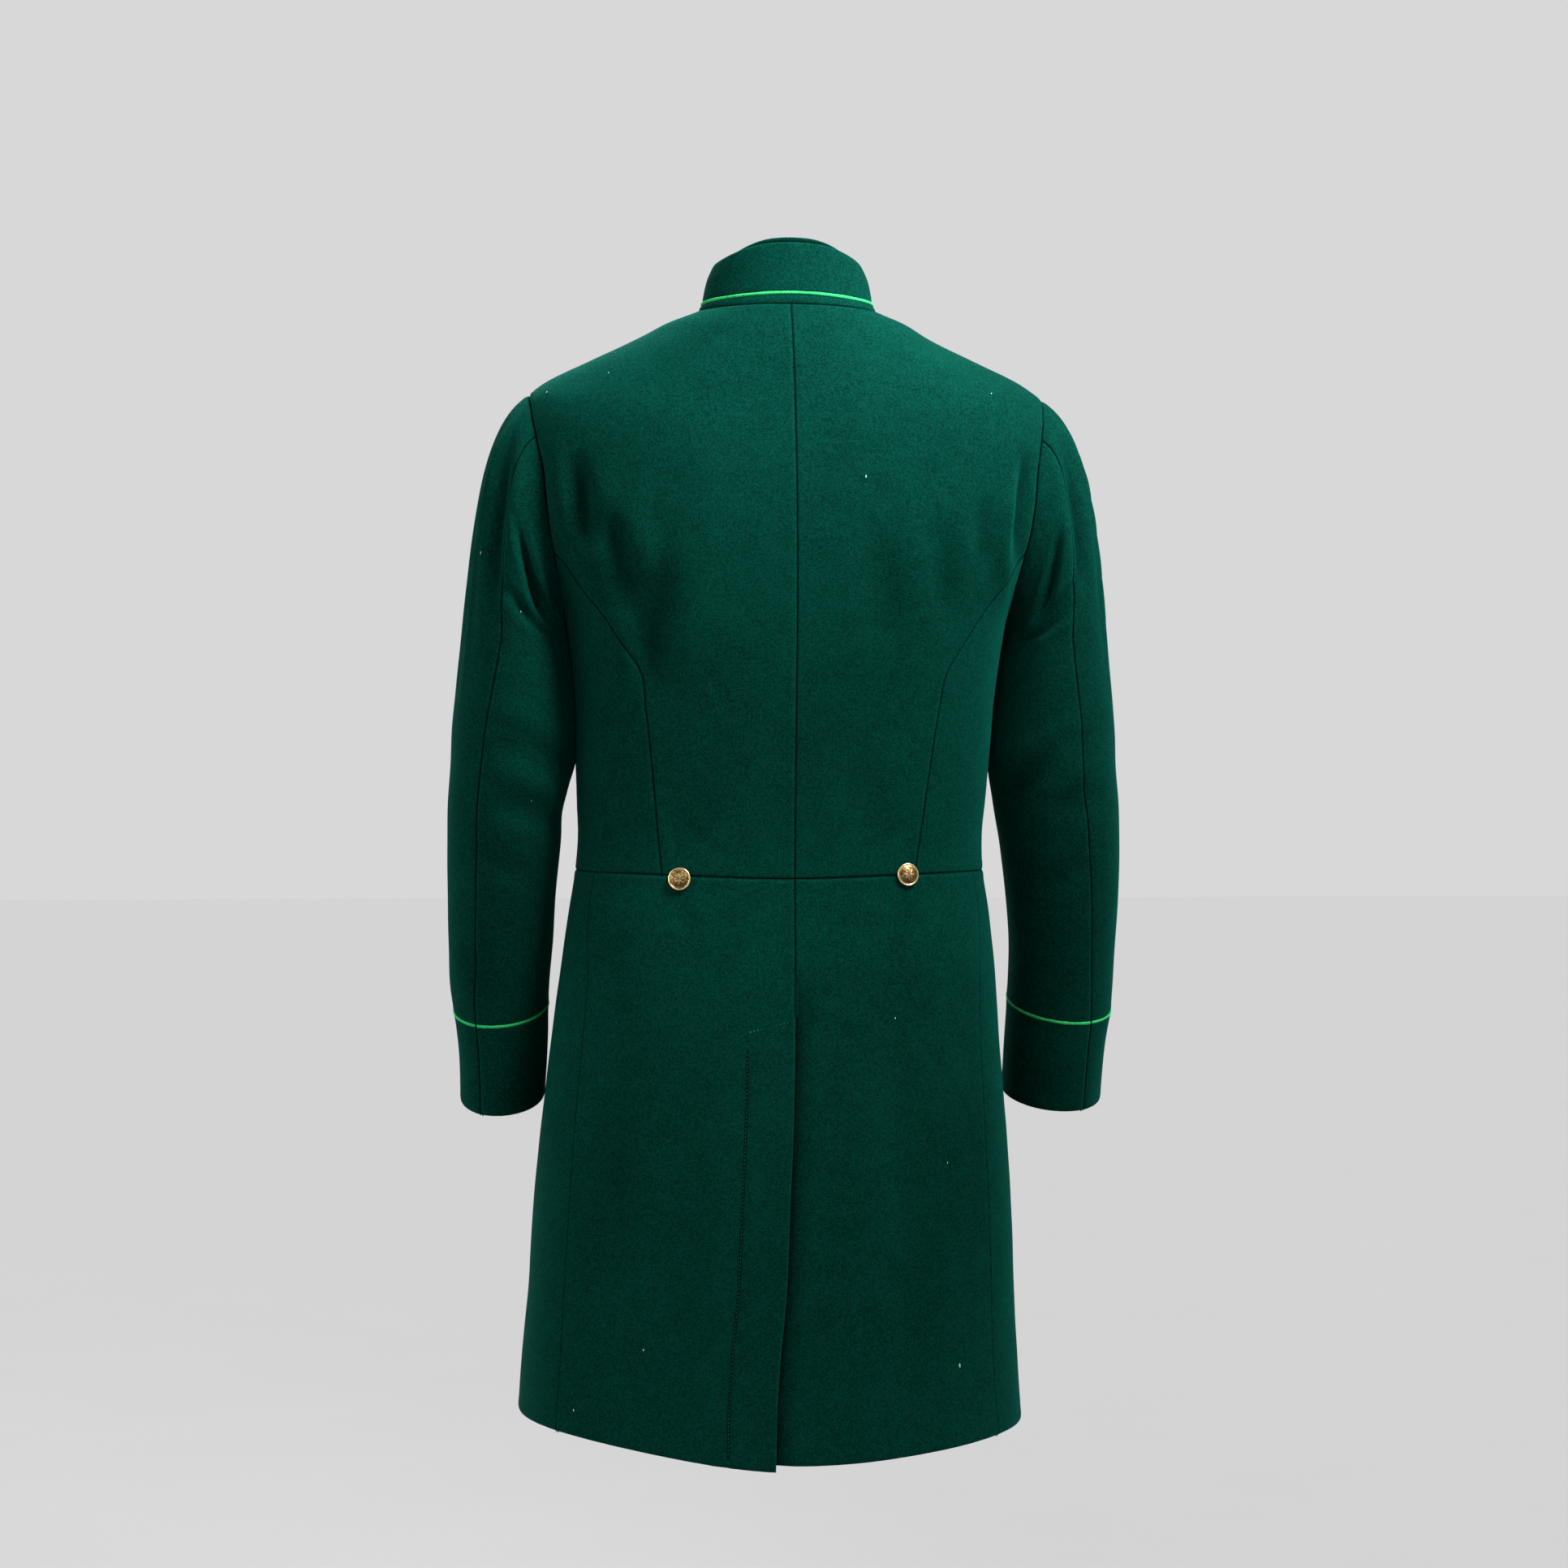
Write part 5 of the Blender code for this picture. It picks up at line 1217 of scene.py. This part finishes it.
bpy.ops.object.select_all(action="DESELECT")
bpy.ops.mesh.primitive_circle_add(vertices=BUTTON_SIDES, radius=BUTTON_PROFILE[0][0], fill_type="NGON")
button = bpy.context.object
bpy.ops.object.mode_set(mode="EDIT")
bpy.ops.mesh.select_all(action="SELECT")
for (radius, height), (wider, higher) in zip(BUTTON_PROFILE, BUTTON_PROFILE[1:]):
    bpy.ops.mesh.extrude_region_move(TRANSFORM_OT_translate={"value": (0, 0, higher - height)})
    bpy.ops.transform.resize(value=(wider / radius, wider / radius, 1), center_override=(0, 0, 0))
face_outward()
wear_and_painted_highlight = button.data.attributes.new("wear_and_painted_highlight", "FLOAT", "POINT")
for vertex, mark in zip(button.data.vertices, wear_and_painted_highlight.data):
    x, y, z = vertex.co
    out = math.hypot(x, y)
    if out < FIELD_RADIUS and z > FIELD_ABOVE:
        petal = bell(out, PETAL_WIDE, PETAL_RADIUS) * (0.5 + 0.5 * math.cos(PETALS * math.atan2(y, x)))
        vertex.co.z += PETAL_HIGH * petal
        mark.value = FIELD_RUBBED + PETAL_RUBBED * petal
    else:
        mark.value = RIM_RUBBED if z > RIM_ABOVE and out > RIM_INSIDE else SIDE_RUBBED
button.data.materials.append(gilt_brass())
bpy.ops.object.shade_smooth_by_angle(angle=math.radians(50))


def fix_button(name, node, level, turn):
    """A copy of the button on the cloth at a level and turn, facing out."""
    level, turn = np.array(float(level)), np.array(float(turn))
    outward = unit(outward_of(plain_body, level, turn, *FINE_STEPS))
    across = unit(np.cross(outward, (0.0, 0.0, 1.0)))
    piece = button.copy()
    piece.data = button.data.copy()
    bpy.context.collection.objects.link(piece)
    piece.name = piece.data.name = name
    seat = body_skin(level, turn) + outward * BUTTON_SEAT
    piece.data.transform(stand_on(seat, -across, np.cross(across, outward), outward))
    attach(piece, "root")
    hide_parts(node)


for side in ("left", "right"):
    level = WAIST_LEVEL + (LEFT_BUTTON_DROP if side == "left" else 0)
    middle = float(read_table(BACK_SEAM_COLUMNS, BACK_SEAM, level, "x"))
    fix_button(f"waist_gilt_button_{side}", f"waist_button_{side}", level,
               turn_at(level, middle + on_side(side, WAIST_BUTTON_REACH), "back"))
levels = np.linspace(FRONT_BUTTON_FIRST, FRONT_BUTTON_LAST, 200)
gone = lengths(plain_body(levels, np.full(200, math.pi)))
for number in range(FRONT_BUTTONS):
    level = float(np.interp(number / (FRONT_BUTTONS - 1) * gone[-1], gone, levels))
    fix_button(f"front_gilt_button_{number + 1}", f"front_button_{number + 1}", level,
               turn_at(level, 0.0, "front"))
bpy.data.objects.remove(button, do_unlink=True)

# The studio: a plain pale floor that runs on into a pale sky of the same tone. Three broad lights come from
# far away: the key high on the right of the view, a fill on the left and one on the front of the coat. A soft
# lamp lifts the right shoulder.
FLOOR_LEVEL, FLOOR_SIZE = -1.52, 60.0
FLOOR_DARK, FLOOR_LIGHT, SKY_TONE = 0.2645, 0.2675, 0.687
TARGET = Vector((0.001, 0.0, -0.431))
CAMERA_AWAY, CAMERA_TURN, SENSOR, MM_PER_PIXEL, FRAME_PIXELS = 3.2, math.radians(5), 36.0, 0.745, 1932
LAMP_PLACE, LAMP_AIM, LAMP_WATTS, LAMP_SIZE = Vector((-0.5, 0.5, 0.5)), Vector((-0.07, 0.07, 0.05)), 160, 0.22
LAMP_CONE = math.radians(70)

pale, tree, shader, place = new_material("pale_paper", {"Roughness": 1.0, "Specular IOR Level": 0.0})
shade = map_range(tree, noise(tree, place, 3.0, 2), 0.3, 0.7)
colour = mix_colours(tree, shade, (*[FLOOR_DARK] * 3, 1), (*[FLOOR_LIGHT] * 3, 1))
tree.links.new(colour, shader.inputs["Base Color"])
bpy.ops.object.select_all(action="DESELECT")
bpy.ops.mesh.primitive_grid_add(
    x_subdivisions=2, y_subdivisions=2, size=FLOOR_SIZE, location=(0, 0, FLOOR_LEVEL))
floor = bpy.context.object
floor.name = "studio_floor"
floor.data.materials.append(pale)


def place_in_scene(name, data, direction):
    """An object of the studio that faces along a direction."""
    placed = bpy.data.objects.new(name, data)
    placed.rotation_euler = direction.to_track_quat("-Z", "Y").to_euler()
    bpy.context.collection.objects.link(placed)
    return placed


camera_data = bpy.data.cameras.new("camera")
camera_data.sensor_width = SENSOR
camera_data.lens = SENSOR * CAMERA_AWAY / (FRAME_PIXELS * MM_PER_PIXEL * MM)
viewpoint = TARGET + Vector((math.sin(CAMERA_TURN), math.cos(CAMERA_TURN), 0)) * CAMERA_AWAY
camera = place_in_scene("camera", camera_data, TARGET - viewpoint)
camera.location = viewpoint
bpy.context.scene.camera = camera
for name, toward, strength, spread_degrees in (
    ("key_light", (0.48, -0.24, -0.84), 4.5, 26),
    ("fill_light", (-0.95, -0.16, -0.28), 2.2, 40),
    ("front_light", (-0.3, 0.9, -0.55), 2.4, 50),
):
    light = bpy.data.lights.new(name, "SUN")
    light.energy = strength
    light.angle = math.radians(spread_degrees)
    place_in_scene(name, light, Vector(toward))
near = bpy.data.lights.new("shoulder_light", "SPOT")
near.energy, near.shadow_soft_size, near.spot_size, near.spot_blend = LAMP_WATTS, LAMP_SIZE, LAMP_CONE, 1.0
lamp = place_in_scene("shoulder_light", near, LAMP_AIM - LAMP_PLACE)
lamp.location = LAMP_PLACE
lamp.visible_camera = False
sky = bpy.data.worlds.new("pale_sky")
sky.use_nodes = True
sky.node_tree.nodes["Background"].inputs["Color"].default_value = (*[SKY_TONE] * 3, 1)
sky.node_tree.nodes["Background"].inputs["Strength"].default_value = 1.0
bpy.context.scene.world = sky
bpy.context.scene.view_settings.view_transform = "Standard"
